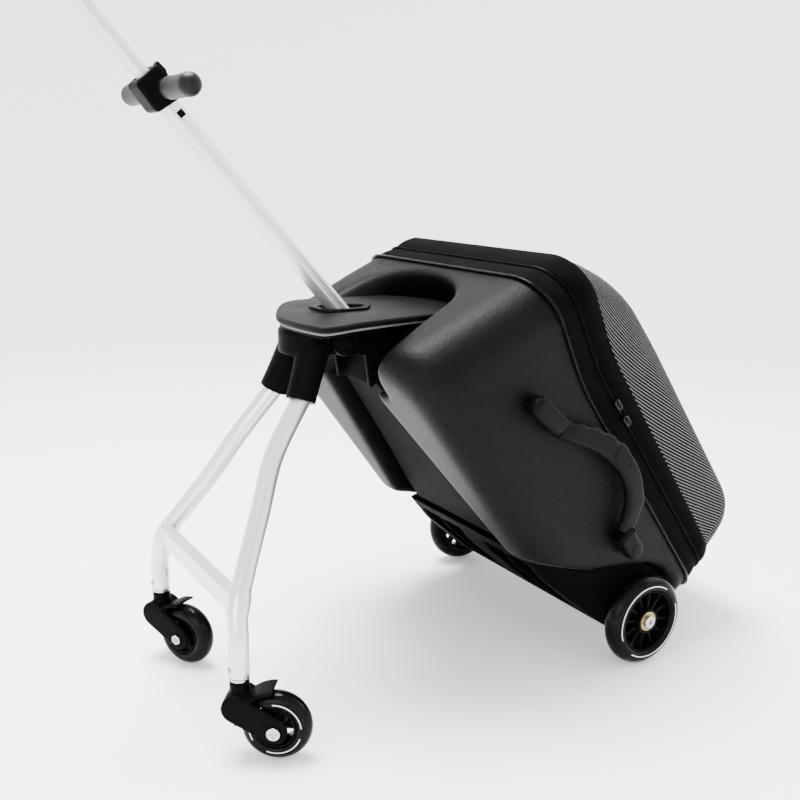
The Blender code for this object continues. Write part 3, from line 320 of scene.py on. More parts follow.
@finish
def gusset_cloth(case, colours):
    """Ribbed cloth between the shell and the zip, with painted highlight on the crests of its ribs and
    painted shade in the troughs between them.
    """
    paint = Paint("gusset_cloth", colours.cloth, 0.80, specular=0.022)
    along = paint.unwrapped()
    rib = ((paint.part_of(along, 1) / case.rib_pitch).fraction() - 0.5).distance()
    thread = ((paint.part_of(along, 0) / THREAD_PITCH).fraction() - 0.5).distance()
    fuzz = paint.noise(along, 900.0)
    # Painted light: each rib's crest is painted lighter and the trough between ribs darker, as highlight and
    # shade would fall; the fuzz adds a random fibre tone.
    paint.vary(rib * 1.2 + fuzz * 0.3, scaled(colours.cloth, 0.6), scaled(colours.cloth, 1.8))
    return paint.relief(rib * 1.4 + thread * 0.35 + fuzz * 0.3, 0.0005, 0.8)


@finish
def trim_plain(case, colours):
    """Plain woven tape."""
    paint = Paint("trim_plain", colours.cloth, 0.75, specular=0.04)
    place = paint.place(CASE)
    weave = paint.weave(place, 1100.0)
    fuzz = paint.noise(place, 500.0)
    paint.vary(fuzz, scaled(colours.cloth, 0.7), scaled(colours.cloth, 1.6))
    return paint.relief(weave * 0.5 + fuzz, 0.0003, 0.6)


@finish
def lid_mesh(case, colours):
    """Black knitted mesh with rows of light grey dashes."""
    paint = Paint("lid_mesh", colours.cloth, 0.75, specular=0.02)
    along = paint.unwrapped()
    wander = (paint.noise(along, 14.0, 1.0) - 0.5) * 0.0016
    side = paint.part_of(along, 0)
    down = paint.part_of(along, 1)
    row = (side * ROW_ALONG + down * ROW_ACROSS + wander) / case.row_pitch
    stagger = (row * 0.5).fraction() - 0.5
    column = (down * ROW_ALONG - side * ROW_ACROSS) / case.dash_pitch + (stagger > 0.0) * 0.5
    height = 1.0 - (row.fraction() - 0.5).distance() * 3.8
    width = 1.0 - (column.fraction() - 0.5).distance() * 2.9
    dash = height.at_least(0.0) * width.at_least(0.0)
    mask = dash.maths("SMOOTH_MIN", dash * 3.0, 1.0, 0.25)
    patchy = paint.noise(along, 260.0)
    shade = mask * (0.62 + patchy * 0.6)
    paint.vary(shade.at_most(1.0), colours.cloth, colours.dash)
    return paint.relief(mask * 0.9 + patchy * 0.25, 0.0007, 0.9)


@finish
def lining(case, colours):
    """Thin woven lining inside the case."""
    paint = Paint("lining", (0.012, 0.012, 0.013), 0.75)
    place = paint.place(CASE)
    return paint.relief(paint.weave(place, 900.0) * 0.5 + paint.noise(place, 60.0, 3.0), 0.0004, 0.6)


def moulded_paint(name, tone, roughness, where, grain=0.00010, specular=0.022):
    """Injection-moulded plastic: a fine spark texture and slight variation."""
    paint = Paint(name, tone, roughness, specular=specular)
    place = paint.place(where)
    spark = paint.noise(place, 1500.0, 3.0, 0.6)
    broad = paint.noise(place, 25.0)
    paint.vary(broad * 0.7, tone, scaled(tone, 1.35))
    paint.set("Roughness", roughness - 0.05 + broad * 0.09 + spark * 0.05)
    return paint.relief(spark, grain, 0.6)


@finish
def satin_plastic(case, colours):
    """Satin black plastic of the hinge, forks and collar."""
    return moulded_paint("satin_plastic", colours.plastic, 0.36, WORLD, specular=0.013)


@finish
def chassis_plastic(case, colours):
    """Matt black plastic of the chassis."""
    return moulded_paint("chassis_plastic", scaled(colours.plastic, 0.9), 0.55, CASE, 0.00014, 0.006)


@finish
def hub_plastic(case, colours):
    """Glossier black plastic of the wheel centres."""
    return moulded_paint("hub_plastic", scaled(colours.plastic, 0.8), 0.30, WORLD, 0.00005)


@finish
def seat_plastic(case, colours):
    """Finely textured seat plate."""
    return moulded_paint("seat_plastic", colours.plastic, 0.50, WORLD, 0.00018, 0.045)


@finish
def layer_plastic(case, colours):
    """Light grey layer under the seat."""
    return moulded_paint("layer_plastic", (0.10, 0.10, 0.10), 0.45, WORLD, 0.00005)


def pebbled_rubber(name, colours, specular):
    paint = Paint(name, colours.plastic, 0.44, specular=specular)
    place = paint.place()
    pebble = paint.cells(place, 1100.0)
    broad = paint.noise(place, 30.0)
    paint.vary(broad * 0.6, scaled(colours.plastic, 0.85), scaled(colours.plastic, 1.4))
    paint.set("Roughness", 0.38 + broad * 0.10)
    return paint.relief(pebble * 0.8, 0.00016, 0.6)


@finish
def grip_rubber(case, colours):
    """Satin rubber of the carry handle."""
    return pebbled_rubber("grip_rubber", colours, 0.045)


@finish
def bar_rubber(case, colours):
    """Shinier rubber of the T-bar and the pull handle."""
    return pebbled_rubber("bar_rubber", colours, 0.12)


@finish
def piping_gloss(case, colours):
    """Glossy thin edge bead."""
    paint = Paint("piping_gloss", (0.001, 0.001, 0.001), 0.20, specular=0.05)
    place = paint.place(CASE)
    smear = paint.noise(place, 120.0)
    paint.set("Roughness", 0.16 + smear * 0.12)
    return paint.relief(smear, 0.0001, 0.3)


@finish
def tyre_gloss(case, colours):
    """Glossy cast tyre with the faintest dust."""
    paint = Paint("tyre_gloss", colours.tyre, 0.10, specular=0.05)
    place = paint.place()
    dust = paint.noise(place, 160.0, 4.0, 0.6)
    wave = paint.noise(place, 35.0, 1.0)
    paint.set("Roughness", 0.07 + dust * 0.10)
    paint.vary(dust * 0.35, colours.tyre, (0.003, 0.003, 0.003))
    return paint.relief(wave, 0.0003, 0.12)


@finish
def ring_print(case, colours):
    """The thin white ring printed on each tyre."""
    paint = Paint("ring_print", (0.60, 0.60, 0.60), 0.35)
    place = paint.place()
    worn = paint.noise(place, 420.0, 3.0)
    paint.vary(worn * 0.45, (0.66, 0.66, 0.66), (0.40, 0.40, 0.40))
    return paint.relief(worn, 0.00005, 0.3)


@finish
def powder_coat(case, colours):
    """Pale powder coat on the legs and the crossbar."""
    paint = Paint("powder_coat", colours.leg, 0.34, metallic=0.85, specular=0.3)
    place = paint.place()
    peel = paint.noise(place, 420.0)
    broad = paint.noise(place, 9.0)
    paint.vary(broad * 0.5, colours.leg, scaled(colours.leg, 0.95))
    paint.set("Roughness", 0.26 + broad * 0.08)
    return paint.relief(peel, 0.00010, 0.3)


@finish
def pole_anodised(case, colours):
    """Silver anodised tube with faint draw lines down its length."""
    paint = Paint("pole_anodised", colours.pole, 0.38, metallic=0.80, specular=0.3)
    place = paint.place(POLE)
    lines = paint.noise(paint.stretch(place, (2600.0, 14.0, 2600.0)), 1.0, 3.0, 0.6)
    broad = paint.noise(place, 12.0)
    paint.set("Roughness", 0.34 + lines * 0.10 + broad * 0.04)
    return paint.relief(lines, 0.00004, 0.25)


@finish
def bright_steel(case, colours):
    """Bright zinc-plated steel of the bolts."""
    paint = Paint("bright_steel", (0.40, 0.40, 0.395), 0.20, metallic=1.0)
    place = paint.place()
    mark = paint.noise(place, 700.0, 3.0)
    paint.set("Roughness", 0.12 + mark * 0.18)
    return paint.relief(mark, 0.00005, 0.3)


@finish
def bearing_gold(case, colours):
    """Gold-coloured bearing shield."""
    paint = Paint("bearing_gold", (0.30, 0.22, 0.10), 0.28, metallic=1.0)
    place = paint.place()
    mark = paint.noise(place, 500.0)
    paint.vary(mark * 0.6, (0.32, 0.24, 0.12), (0.20, 0.14, 0.06))
    paint.set("Roughness", 0.22 + mark * 0.15)
    return paint.relief(mark, 0.00005, 0.3)


@finish
def gunmetal(case, colours):
    """Dark plated metal of the zip sliders."""
    paint = Paint("gunmetal", (0.020, 0.020, 0.022), 0.25, metallic=1.0)
    place = paint.place()
    mark = paint.noise(place, 600.0, 3.0)
    paint.set("Roughness", 0.22 + mark * 0.18)
    return paint.relief(mark, 0.00006, 0.3)


# Building pieces

def corner(centre, radius, start, end, steps):
    """Points on an arc, in degrees, both ends included."""
    points = []
    for i in range(steps + 1):
        angle = math.radians(start + (end - start) * i / steps)
        points.append((centre[0] + radius * math.cos(angle), centre[1] + radius * math.sin(angle)))
    return points


def between(first, second, count):
    return [tuple(a + (b - a) * i / count for a, b in zip(first, second)) for i in range(1, count)]


def rounded(half_x, half_y, radius, steps=6):
    points = []
    for sx, sy, start in ((1, 1, 0), (-1, 1, 90), (-1, -1, 180), (1, -1, 270)):
        points += corner((sx * (half_x - radius), sy * (half_y - radius)), radius, start, start + 90, steps)
    return points


def slot_outline(first, second, radius_first, radius_second, steps=14):
    """The outline round two circles."""
    dx = second[0] - first[0]
    dy = second[1] - first[1]
    heading = math.degrees(math.atan2(dy, dx))
    tangent = math.degrees(math.acos((radius_first - radius_second) / math.hypot(dx, dy)))
    points = corner(first, radius_first, heading + tangent, heading + 360 - tangent, steps)
    return points + corner(second, radius_second, heading - tangent, heading + tangent, steps)


def smooth_path(knots, per_span):
    """A Catmull-Rom curve through knots."""
    points = [Vector(knot) for knot in knots]
    ends = [points[0] * 2 - points[1]] + points + [points[-1] * 2 - points[-2]]
    path = []
    for i in range(1, len(ends) - 2):
        before, first, second, after = ends[i - 1:i + 3]
        for k in range(per_span):
            t = k / per_span
            path.append(0.5 * ((2 * first) + (second - before) * t
                               + (2 * before - 5 * first + 4 * second - after) * t * t
                               + (3 * first - before - 3 * second + after) * t ** 3))
    path.append(points[-1])
    return path


def outward(bm):
    """Turns every face of a closed shape outwards."""
    bmesh.ops.recalc_face_normals(bm, faces=bm.faces)
    if bm.calc_volume(signed=True) < 0:
        bmesh.ops.reverse_faces(bm, faces=bm.faces)
    return bm


def loop_of(bm, points):
    """A closed loop of vertices that remember their place in it."""
    place = bm.verts.layers.int["place"]
    verts = [bm.verts.new(point) for point in points]
    for i, vert in enumerate(verts):
        vert[place] = i
    return [bm.edges.new((verts[i - 1], verts[i])) for i in range(len(verts))]


def carried_on(bm, edges, points, number=0):
    """Extrudes a loop of edges to the next ring of points."""
    place = bm.verts.layers.int["place"]
    ring = bm.verts.layers.int["ring"]
    made = bmesh.ops.extrude_edge_only(bm, edges=edges)["geom"]
    verts = {item for item in made if isinstance(item, bmesh.types.BMVert)}
    for vert in verts:
        vert.co = points[vert[place]]
        vert[ring] = number
    return [item for item in made if isinstance(item, bmesh.types.BMEdge) and set(item.verts) <= verts]


def numbered():
    bm = bmesh.new()
    bm.verts.layers.int.new("place")
    bm.verts.layers.int.new("ring")
    return bm


def skin(rings, joined=False):
    """Extrudes a loop from ring to ring; every ring has the same count."""
    bm = numbered()
    edges = loop_of(bm, rings[0])
    if not joined:
        bmesh.ops.contextual_create(bm, geom=edges)
    for number, points in enumerate(rings[1:] + (rings[:1] if joined else [])):
        edges = carried_on(bm, edges, points, (number + 1) % len(rings))
    if joined:
        bmesh.ops.remove_doubles(bm, verts=bm.verts, dist=0.0000005)
    else:
        bmesh.ops.contextual_create(bm, geom=edges)
    return outward(bm)


def turned(profile, steps=64):
    """Spins a closed profile of (radius, height) points about Z."""
    bm = bmesh.new()
    verts = [bm.verts.new((radius, 0, height)) for radius, height in profile]
    edges = [bm.edges.new((verts[i - 1], verts[i])) for i in range(len(verts))]
    bmesh.ops.spin(bm, geom=verts + edges, axis=(0, 0, 1), cent=(0, 0, 0), dvec=(0, 0, 0),
                   angle=2 * math.pi, steps=steps, use_merge=True, use_duplicate=False)
    bmesh.ops.remove_doubles(bm, verts=bm.verts, dist=0.0000005)
    return outward(bm)


def cleaned(points, hole):
    """No doubled points; an outline runs anticlockwise and a hole clockwise."""
    kept = [Vector(point) for i, point in enumerate(points)
            if (Vector(point) - Vector(points[i - 1])).length > 0.000001]
    area = sum(a.x * b.y - b.x * a.y for a, b in zip(kept, kept[1:] + kept[:1]))
    return kept[::-1] if (area < 0) != hole else kept


def drawn_in(points, distance):
    """A closed outline moved into the material that it bounds."""
    moved = []
    for i, here in enumerate(points):
        first = (here - points[i - 1]).normalized()
        second = (points[(i + 1) % len(points)] - here).normalized()
        normal = Vector((-first.y - second.y, first.x + second.x)).normalized()
        stretch = 1 / max(normal.dot(Vector((-first.y, first.x))), 0.5)
        moved.append(here + normal * distance * stretch)
    return moved


def slab(outline, low, high, edge=0.0, steps=3, holes=()):
    """An outline in XY given a thickness along Z, its rims rounded over."""
    bm = numbered()
    profile = [(0.0, low), (0.0, high)]
    if edge:
        bend = [math.radians(90 * i / steps) for i in range(steps + 1)]
        profile = [(edge * (1 - math.sin(a)), low + edge * (1 - math.cos(a))) for a in bend]
        profile += [(inset, low + high - level) for inset, level in reversed(profile)]
    bottom = []
    top = []
    for number, points in enumerate((outline, *holes)):
        loop = cleaned(points, number > 0)
        rings = [[(p.x, p.y, level) for p in drawn_in(loop, inset)] for inset, level in profile]
        edges = loop_of(bm, rings[0])
        bottom += edges
        for ring in rings[1:]:
            edges = carried_on(bm, edges, ring)
        top += edges
    bmesh.ops.triangle_fill(bm, use_beauty=True, edges=bottom)
    bmesh.ops.triangle_fill(bm, use_beauty=True, edges=top)
    return outward(bm)


def block(low, high, edge=0.0):
    bm = bmesh.new()
    bmesh.ops.create_cube(bm, size=1.0)
    bmesh.ops.scale(bm, vec=Vector(high) - Vector(low), verts=bm.verts)
    bmesh.ops.translate(bm, vec=(Vector(high) + Vector(low)) / 2, verts=bm.verts)
    if edge:
        bmesh.ops.bevel(bm, geom=bm.edges[:], offset=edge, offset_type="OFFSET", segments=2,
                        profile=0.5, affect="EDGES", material=-1, clamp_overlap=True)
    return bm


def rod(radius, low, high, segments=40):
    bm = bmesh.new()
    bmesh.ops.create_cone(bm, cap_ends=True, segments=segments, radius1=radius, radius2=radius,
                          depth=high - low)
    bmesh.ops.translate(bm, vec=(0, 0, (high + low) / 2), verts=bm.verts)
    return bm


def sweep(path, sections):
    """Carries a section along a path. Sections are (across, out) points."""
    points = [Vector(point) for point in path]
    rings = []
    across = Vector((1, 0, 0))
    for i, point in enumerate(points):
        before = points[max(i - 1, 0)]
        after = points[min(i + 1, len(points) - 1)]
        heading = (after - before).normalized()
        across = (across - heading * across.dot(heading)).normalized()
        out = heading.cross(across)
        section = sections[i] if isinstance(sections[0], list) else sections
        rings.append([point + across * a + out * b for a, b in section])
    return skin(rings)


def circle(radius, segments=32):
    return [(radius * math.cos(2 * math.pi * i / segments), radius * math.sin(2 * math.pi * i / segments))
            for i in range(segments)]


def merged(*shapes):
    """Several bmeshes, each with its own frame, as one."""
    whole = bmesh.new()
    for bm, where in shapes:
        bmesh.ops.transform(bm, matrix=where, verts=bm.verts)
        if where.determinant() < 0:
            bmesh.ops.reverse_faces(bm, faces=bm.faces)
        mesh = bpy.data.meshes.new("part")
        bm.to_mesh(mesh)
        bm.free()
        whole.from_mesh(mesh)
        bpy.data.meshes.remove(mesh)
    return whole


def as_object(name, bm, where):
    """An object at the origin, with its place in its mesh."""
    bmesh.ops.transform(bm, matrix=where, verts=bm.verts)
    mesh = bpy.data.meshes.new(name)
    bm.to_mesh(mesh)
    bm.free()
    obj = bpy.data.objects.new(name, mesh)
    bpy.context.scene.collection.objects.link(obj)
    return obj


def piece(name, bm, where, material, body, replaces=(), angle=35):
    """Puts a shape in the scene, riding on its body."""
    obj = as_object(name, bm, where)
    obj.data.shade_smooth()
    obj.data.set_sharp_from_angle(angle=math.radians(angle))
    obj.data.materials.append(material)
    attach(obj, body)
    if replaces:
        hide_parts(*replaces)
    return obj


def helper(bm, where):
    """A shape that only cuts or joins another one."""
    return as_object("helper", bm, where)


def worked(obj, steps):
    """Applies (kind, settings) modifiers and returns the result as a bmesh."""
    for kind, settings in steps:
        mod = obj.modifiers.new(kind.lower(), kind)
        for name, value in settings.items():
            setattr(mod, name, value)
    bpy.context.view_layer.update()
    result = obj.evaluated_get(bpy.context.evaluated_depsgraph_get())
    bm = bmesh.new()
    bm.from_mesh(result.to_mesh())
    result.to_mesh_clear()
    return bm


def drop(*helpers):
    for obj in helpers:
        bpy.data.objects.remove(obj, do_unlink=True)


def cut_with(*helpers):
    return [("BOOLEAN", {"operation": "DIFFERENCE", "object": obj}) for obj in helpers]


def moulding(voxel, rounds):
    """The steps that melt a rough shape into one soft-edged skin."""
    return [("REMESH", {"mode": "VOXEL", "voxel_size": voxel}),
            ("SMOOTH", {"factor": 0.5, "iterations": rounds})]


def softened(name, node, voxel, rounds, material, body):
    """A moulded copy of a solid, its edges rounded as a mould leaves them."""
    bm = bmesh.new()
    bm.from_mesh(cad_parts[node].data)
    bmesh.ops.remove_doubles(bm, verts=bm.verts, dist=0.00001)
    rough = helper(bm, WORLD)
    bm = worked(rough, moulding(voxel, rounds))
    drop(rough)
    return piece(name, bm, WORLD, material, body, (node,), 60)


def repaint(material, *nodes):
    """Gives solids that keep their own shape a better finish."""
    for node in nodes:
        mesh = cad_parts[node].data
        mesh.materials.clear()
        mesh.materials.append(material)


# Outline of the case

CORNER_STEPS = 12

def seam_rise(u):
    t = min(max((-0.25 - u) / 0.14, 0.0), 1.0)
    return SEAM_RISE * t * t * (3 - 2 * t)


def flare(u, level):
    t = min(max((-0.27 - u) / 0.11, 0.0), 1.0) * min(max((level + 0.02) / 0.08, 0.0), 1.0)
    return 1 + FLARE * t * t * (3 - 2 * t)


def belly(u, level):
    """The lid stands a little fuller below its upper end."""
    along = min(max((u + 0.36) / 0.15, 0.0), 1.0)
    up = min(max((level - 0.124) / 0.030, 0.0), 1.0) * min(max((0.196 - level) / 0.012, 0.0), 1.0)
    return 0.008 * up * along * along * (3 - 2 * along)


def case_ring(inset, level, rise=1.0):
    """A ring round the case at one depth, drawn in by an inset."""
    half = HALF_WIDTH - inset
    top = CASE_TOP + 0.22 * level + inset + TOP_TAPER * max(level - LID_STEP, 0.0)
    bottom = CASE_BOTTOM - inset
    top_r = max(0.045 - 0.3 * inset, 0.012)
    bottom_r = max(0.050 - 0.3 * inset, 0.012)
    ring = []
    corners = ((half, bottom, bottom_r, 1, 1, 0), (-half, bottom, bottom_r, -1, 1, 90),
               (-half, top, top_r, -1, -1, 180), (half, top, top_r, 1, -1, 270))
    ends = {0: (-half + bottom_r, bottom), 90: (-half, top + top_r), 180: (half - top_r, top),
            270: (half, bottom - bottom_r)}
    for x, u, radius, sx, su, start in corners:
        ring += corner((x - sx * radius, u - su * radius), radius, start, start + 90, CORNER_STEPS)
        ring += between(ring[-1], ends[start], 16 if start in (90, 270) else 10)
    return [(x * flare(u, level), u, level + rise * (seam_rise(u) + belly(u, level))) for x, u in ring]


def ring_length(ring):
    """Distance along a ring at each of its points."""
    lengths = [0.0]
    for first, second in zip(ring, ring[1:] + ring[:1]):
        lengths.append(lengths[-1] + (Vector(second) - Vector(first)).length)
    return lengths


def pole_level(u):
    return -0.0298 + (u + 0.4456) * math.tan(CASE_TILT - POLE_TILT)


def shelf_u(level, height):
    return (level * math.cos(CASE_TILT) - (height - REAR_RADIUS)) / math.sin(CASE_TILT)


POCKET_HALF = 0.080
POCKET_APEX = 0.0778
POCKET_FLARE = ((-0.60, 0.026), (-0.418, 0.026), (-0.4125, 0.0150), (-0.4060, 0.0085), (-0.3960, 0.0035),
                (-0.3800, 0.0), (-0.25, 0.0))
BAY_FLOOR = -0.366
SHELF_Z = SEAT_LOW - 0.0011
REAR_ARCS = ((18, 162), (198, 342))
FRONT_ARCS = ((-20, 70), (95, 185), (210, 300))


# Rear shell

def shell_levels():
    """Depth and inset of the rings that round the case's back over."""
    radius = 0.034
    steps = 12
    rounding = []
    for i in range(steps + 1):
        angle = math.radians(90 - 90 * i / steps)
        rounding.append((CASE_BACK + radius * (1 - math.sin(angle)), radius * (1 - math.cos(angle))))
    return rounding


def case_block(inset, top_level):
    rings = [case_ring(back + inset, level + inset, 0.0) for level, back in shell_levels()]
    for level, rise in ((0.0, 0.2), (0.04, 0.6), (top_level, 1.0), (top_level + 0.03, 0.0)):
        rings.append(case_ring(inset, level, rise))
    return helper(skin(rings), CASE)


def pocket_cutter(grow):
    """The seat recess: a flared mouth, a level shelf and an open hinge bay."""
    rings = []
    for u, spread in POCKET_FLARE:
        half = POCKET_HALF + grow + spread
        apex = POCKET_APEX + grow + min(spread, 0.008)
        rounding = 0.052 + 0.5 * spread
        arch = corner((0, apex - rounding), 1.0, 0, 180, 30)
        ring = [(half * x, u, apex - rounding + rounding * (y - apex + rounding)) for x, y in arch]
        rings.append([(half, u, -0.2)] + ring + [(-half, u, -0.2)])
    walls = helper(skin(rings), CASE)
    shelf_z = SHELF_Z - grow
    bay = BAY_FLOOR + grow
    bend = (bay * math.sin(CASE_TILT) + (shelf_z - REAR_RADIUS)) / math.cos(CASE_TILT)
    profile = [(-0.58, -0.15), (bay, -0.15), (bay, bend), (shelf_u(0.15, shelf_z), 0.15), (-0.58, 0.15)]
    height = helper(slab(profile, -0.19, 0.19), CASE @ SIDE_VIEW)
    cutter = helper(worked(walls, [("BOOLEAN", {"operation": "INTERSECT", "object": height})]), WORLD)
    drop(walls, height)
    return cutter


def channel_cutter(grow):
    """The channel down the back, which widens towards the wheels."""
    rings = []
    for u, half in ((-0.40, 0.046), (-0.365, 0.049), (-0.165, 0.104), (-0.06, 0.112)):
        floor = pole_level(u) + 0.019 + grow
        width = half + grow
        rings.append([(width + 0.004, u, -0.12), (width, u, floor - 0.006), (width - 0.006, u, floor),
                      (-width + 0.006, u, floor), (-width, u, floor - 0.006), (-width - 0.004, u, -0.12)])
    return helper(skin(rings), CASE)


def bottom_cutter(grow):
    """The slant under the shell's sides, then the wheel arch."""
    arch = corner((0, 0), REAR_RADIUS + 0.0085 + grow, 142, 62, 24)
    slant = [(-0.160 - 0.7 * grow, -0.0720), (-0.134 - 0.6 * grow, -0.049 + 0.6 * grow),
             (-0.098 - 0.5 * grow, -0.021 + 0.8 * grow)]
    outline = slant + arch + [(0.12, arch[-1][1] + 0.004), (0.12, -0.2), (-0.13, -0.2)]
    return helper(slab(outline, -0.3, 0.3), CASE @ SIDE_VIEW)


def rear_shell(voxel):
    cutters = [make(0.0) for make in (pocket_cutter, channel_cutter, bottom_cutter)]
    solid = case_block(0.0, SEAM + 0.03)
    rounds = round(10 * (0.006 / voxel) ** 2)
    moulded = helper(worked(solid, cut_with(*cutters) + moulding(voxel, rounds)), WORLD)
    inner_cutters = [make(WALL) for make in (pocket_cutter, channel_cutter, bottom_cutter)]
    core = case_block(WALL, SEAM + 0.04)
    hollow = helper(worked(core, cut_with(*inner_cutters)), WORLD)
    line = [(u / 100, SEAM + seam_rise(u / 100)) for u in range(-50, 13)]
    past_seam = helper(slab(line + [(0.12, 0.3), (-0.5, 0.3)], -0.3, 0.3), CASE @ SIDE_VIEW)
    shell = worked(moulded, cut_with(past_seam, hollow))
    drop(solid, moulded, core, hollow, past_seam, *cutters, *inner_cutters)
    return shell


# Bands round the case and the lid

CLOTH_THICKNESS = 0.0030
TOOTH_PITCH = 0.0013

def lift(u, level):
    """The mesh starts further from the seam towards the case's top."""
    if level < LID_STEP:
        fade = min(max((level - LID_BASE) / (LID_STEP - LID_BASE), 0.0), 1.0)
    else:
        fade = min(max((LID_CROWN - level) / (LID_CROWN - LID_STEP), 0.0), 1.0)
    return -0.022 * (u + 0.13) * fade


def lid_ring(inset, level):
    return [(x, u, n + lift(u, level)) for x, u, n in case_ring(inset, level)]


def evened(ring, spacing):
    """The same closed ring with its points a fixed distance apart."""
    lengths = ring_length(ring)
    count = 2 * round(lengths[-1] / spacing / 2)
    points = []
    place = 0
    for i in range(count):
        target = lengths[-1] * i / count
        while lengths[place + 1] < target:
            place += 1
        t = (target - lengths[place]) / (lengths[place + 1] - lengths[place])
        points.append(Vector(ring[place]).lerp(Vector(ring[(place + 1) % len(ring)]), t))
    return points


def unwrap(bm, chart):
    """Lays out UVs from a chart of one row of points for each ring."""
    place = bm.verts.layers.int["place"]
    number = bm.verts.layers.int["ring"]
    uv = bm.loops.layers.uv.new("UVMap")
    last_place = len(chart[0]) - 2
    last_ring = max(vert[number] for vert in bm.verts)
    for face in bm.faces:
        places = {loop.vert[place] for loop in face.loops}
        numbers = {loop.vert[number] for loop in face.loops}
        wraps = len(face.verts) == 4 and {0, last_place} <= places
        turns = len(face.verts) == 4 and {0, last_ring} <= numbers and last_ring > 1
        for loop in face.loops:
            row = len(chart) - 1 if turns and loop.vert[number] == 0 else loop.vert[number]
            column = last_place + 1 if wraps and loop.vert[place] == 0 else loop.vert[place]
            loop[uv].uv = chart[row][column]


def band(section, ring_of=case_ring):
    """A closed section of (inset, level) points carried round the case."""
    rings = [ring_of(inset, level) for inset, level in section]
    bm = skin(rings, joined=True)
    along = ring_length(rings[0])
    across = ring_length([(inset, level, 0.0) for inset, level in section])
    unwrap(bm, [[(length, depth) for length in along] for depth in across])
    return bm


def cloth_section(low, high, inset_low, inset_high, puff):
    """A padded strip of cloth that rolls over towards the zip's crease."""
    outer = []
    for i in range(17):
        t = i / 16
        roll = math.sin(math.pi * t) ** 0.7
        hem = 0.0004 if i in (1, 15) else 0.0
        outer.append((inset_low + (inset_high - inset_low) * t - puff * roll - hem, low + (high - low) * t))
    return outer + [(inset_high + CLOTH_THICKNESS, high), (inset_low + CLOTH_THICKNESS, low)]


def zip_teeth():
    """Two rows of interlocking teeth between their tapes."""
    rings = []
    middle = (ZIP_LOW + ZIP_HIGH) / 2
    half = (ZIP_HIGH - ZIP_LOW) / 2
    for height, inset, tooth in ((-1.0, 0.0010, 0), (-0.75, 0.0006, 0), (-0.5, 0.0002, 1), (-0.1, -0.0002, 1),
                                 (0.1, -0.0002, -1), (0.5, 0.0002, -1), (0.75, 0.0006, 0), (1.0, 0.0010, 0)):
        ring = evened(case_ring(inset, middle + half * height), TOOTH_PITCH)
        inner = evened(case_ring(inset + 0.0006, middle + half * height), TOOTH_PITCH)
        pairs = zip(ring, inner[:len(ring)] + ring[len(inner):])
        rings.append([inside if tooth and (i % 2 == 0) == (tooth > 0) else outside
                      for i, (outside, inside) in enumerate(pairs)])
    count = min(len(ring) for ring in rings)
    rings = [ring[:count] for ring in rings]
    rings += [case_like(rings[-1], 0.0030), case_like(rings[0], 0.0030)]
    return skin(rings, joined=True)


def case_like(ring, inset):
    """A ring drawn in towards the middle of the case."""
    middle = Vector((0, (CASE_TOP + CASE_BOTTOM) / 2, 0))
    points = []
    for point in ring:
        heading = Vector((point[0] - middle.x, point[1] - middle.y, 0)).normalized()
        points.append(Vector(point) - heading * inset)
    return points


LID_PROFILE = ((0.0036, LID_STEP + 0.0008), (0.0050, 0.132), (0.0062, 0.144), (0.0100, 0.162),
               (0.0190, 0.177), (0.0360, 0.186), (0.0650, 0.191), (0.1050, 0.194), (0.1450, 0.1945))


def lid_sheet():
    """The knitted sheet over the lid: its sides, its rim and its crowned face."""
    curve = smooth_path([(inset, level, 0.0) for inset, level in LID_PROFILE], 4)
    outer = [lid_ring(p.x, p.y) for p in curve]
    inner = [lid_ring(p.x + 0.0012, p.y - 0.0012) for p in curve]
    rings = inner[::-1] + outer
    bm = skin(rings)
    flat = 16
    count = len(outer[0])
    chart = []
    for number in range(len(curve)):
        row = []
        for place, (x, u, _) in enumerate(outer[number]):
            spot = Vector((x, u))
            if number < flat:
                tangent = Vector(outer[0][(place + 1) % count]) - Vector(outer[0][place - 1])
                away = Vector((tangent.y, -tangent.x)).normalized()
                reach = (spot - Vector(outer[flat][place][:2])).dot(away)
                length = sum((Vector(outer[k][place]) - Vector(outer[k + 1][place])).length
                             for k in range(number, flat))
                spot += away * (length - reach)
            row.append(tuple(spot))
        chart.append(row + row[:1])
    unwrap(bm, chart[::-1] + chart)
    return bm


# Carry handle

GRIP_KNOTS = ((-0.2660, 0.0297), (-0.2480, 0.0410), (-0.2220, 0.0570), (-0.1900, 0.0680), (-0.1600, 0.0690),
              (-0.1360, 0.0600), (-0.1200, 0.0440), (-0.1130, 0.0315))
HANDLE_ENDS = (-0.2660, -0.1130)


def ellipse(centre, along, across, heading):
    """An oval turned to a heading, as (u, n) points."""
    turn = Matrix.Rotation(heading, 2)
    return [tuple(Vector(centre) + turn @ Vector((along * x, across * y))) for x, y in circle(1.0, 40)]


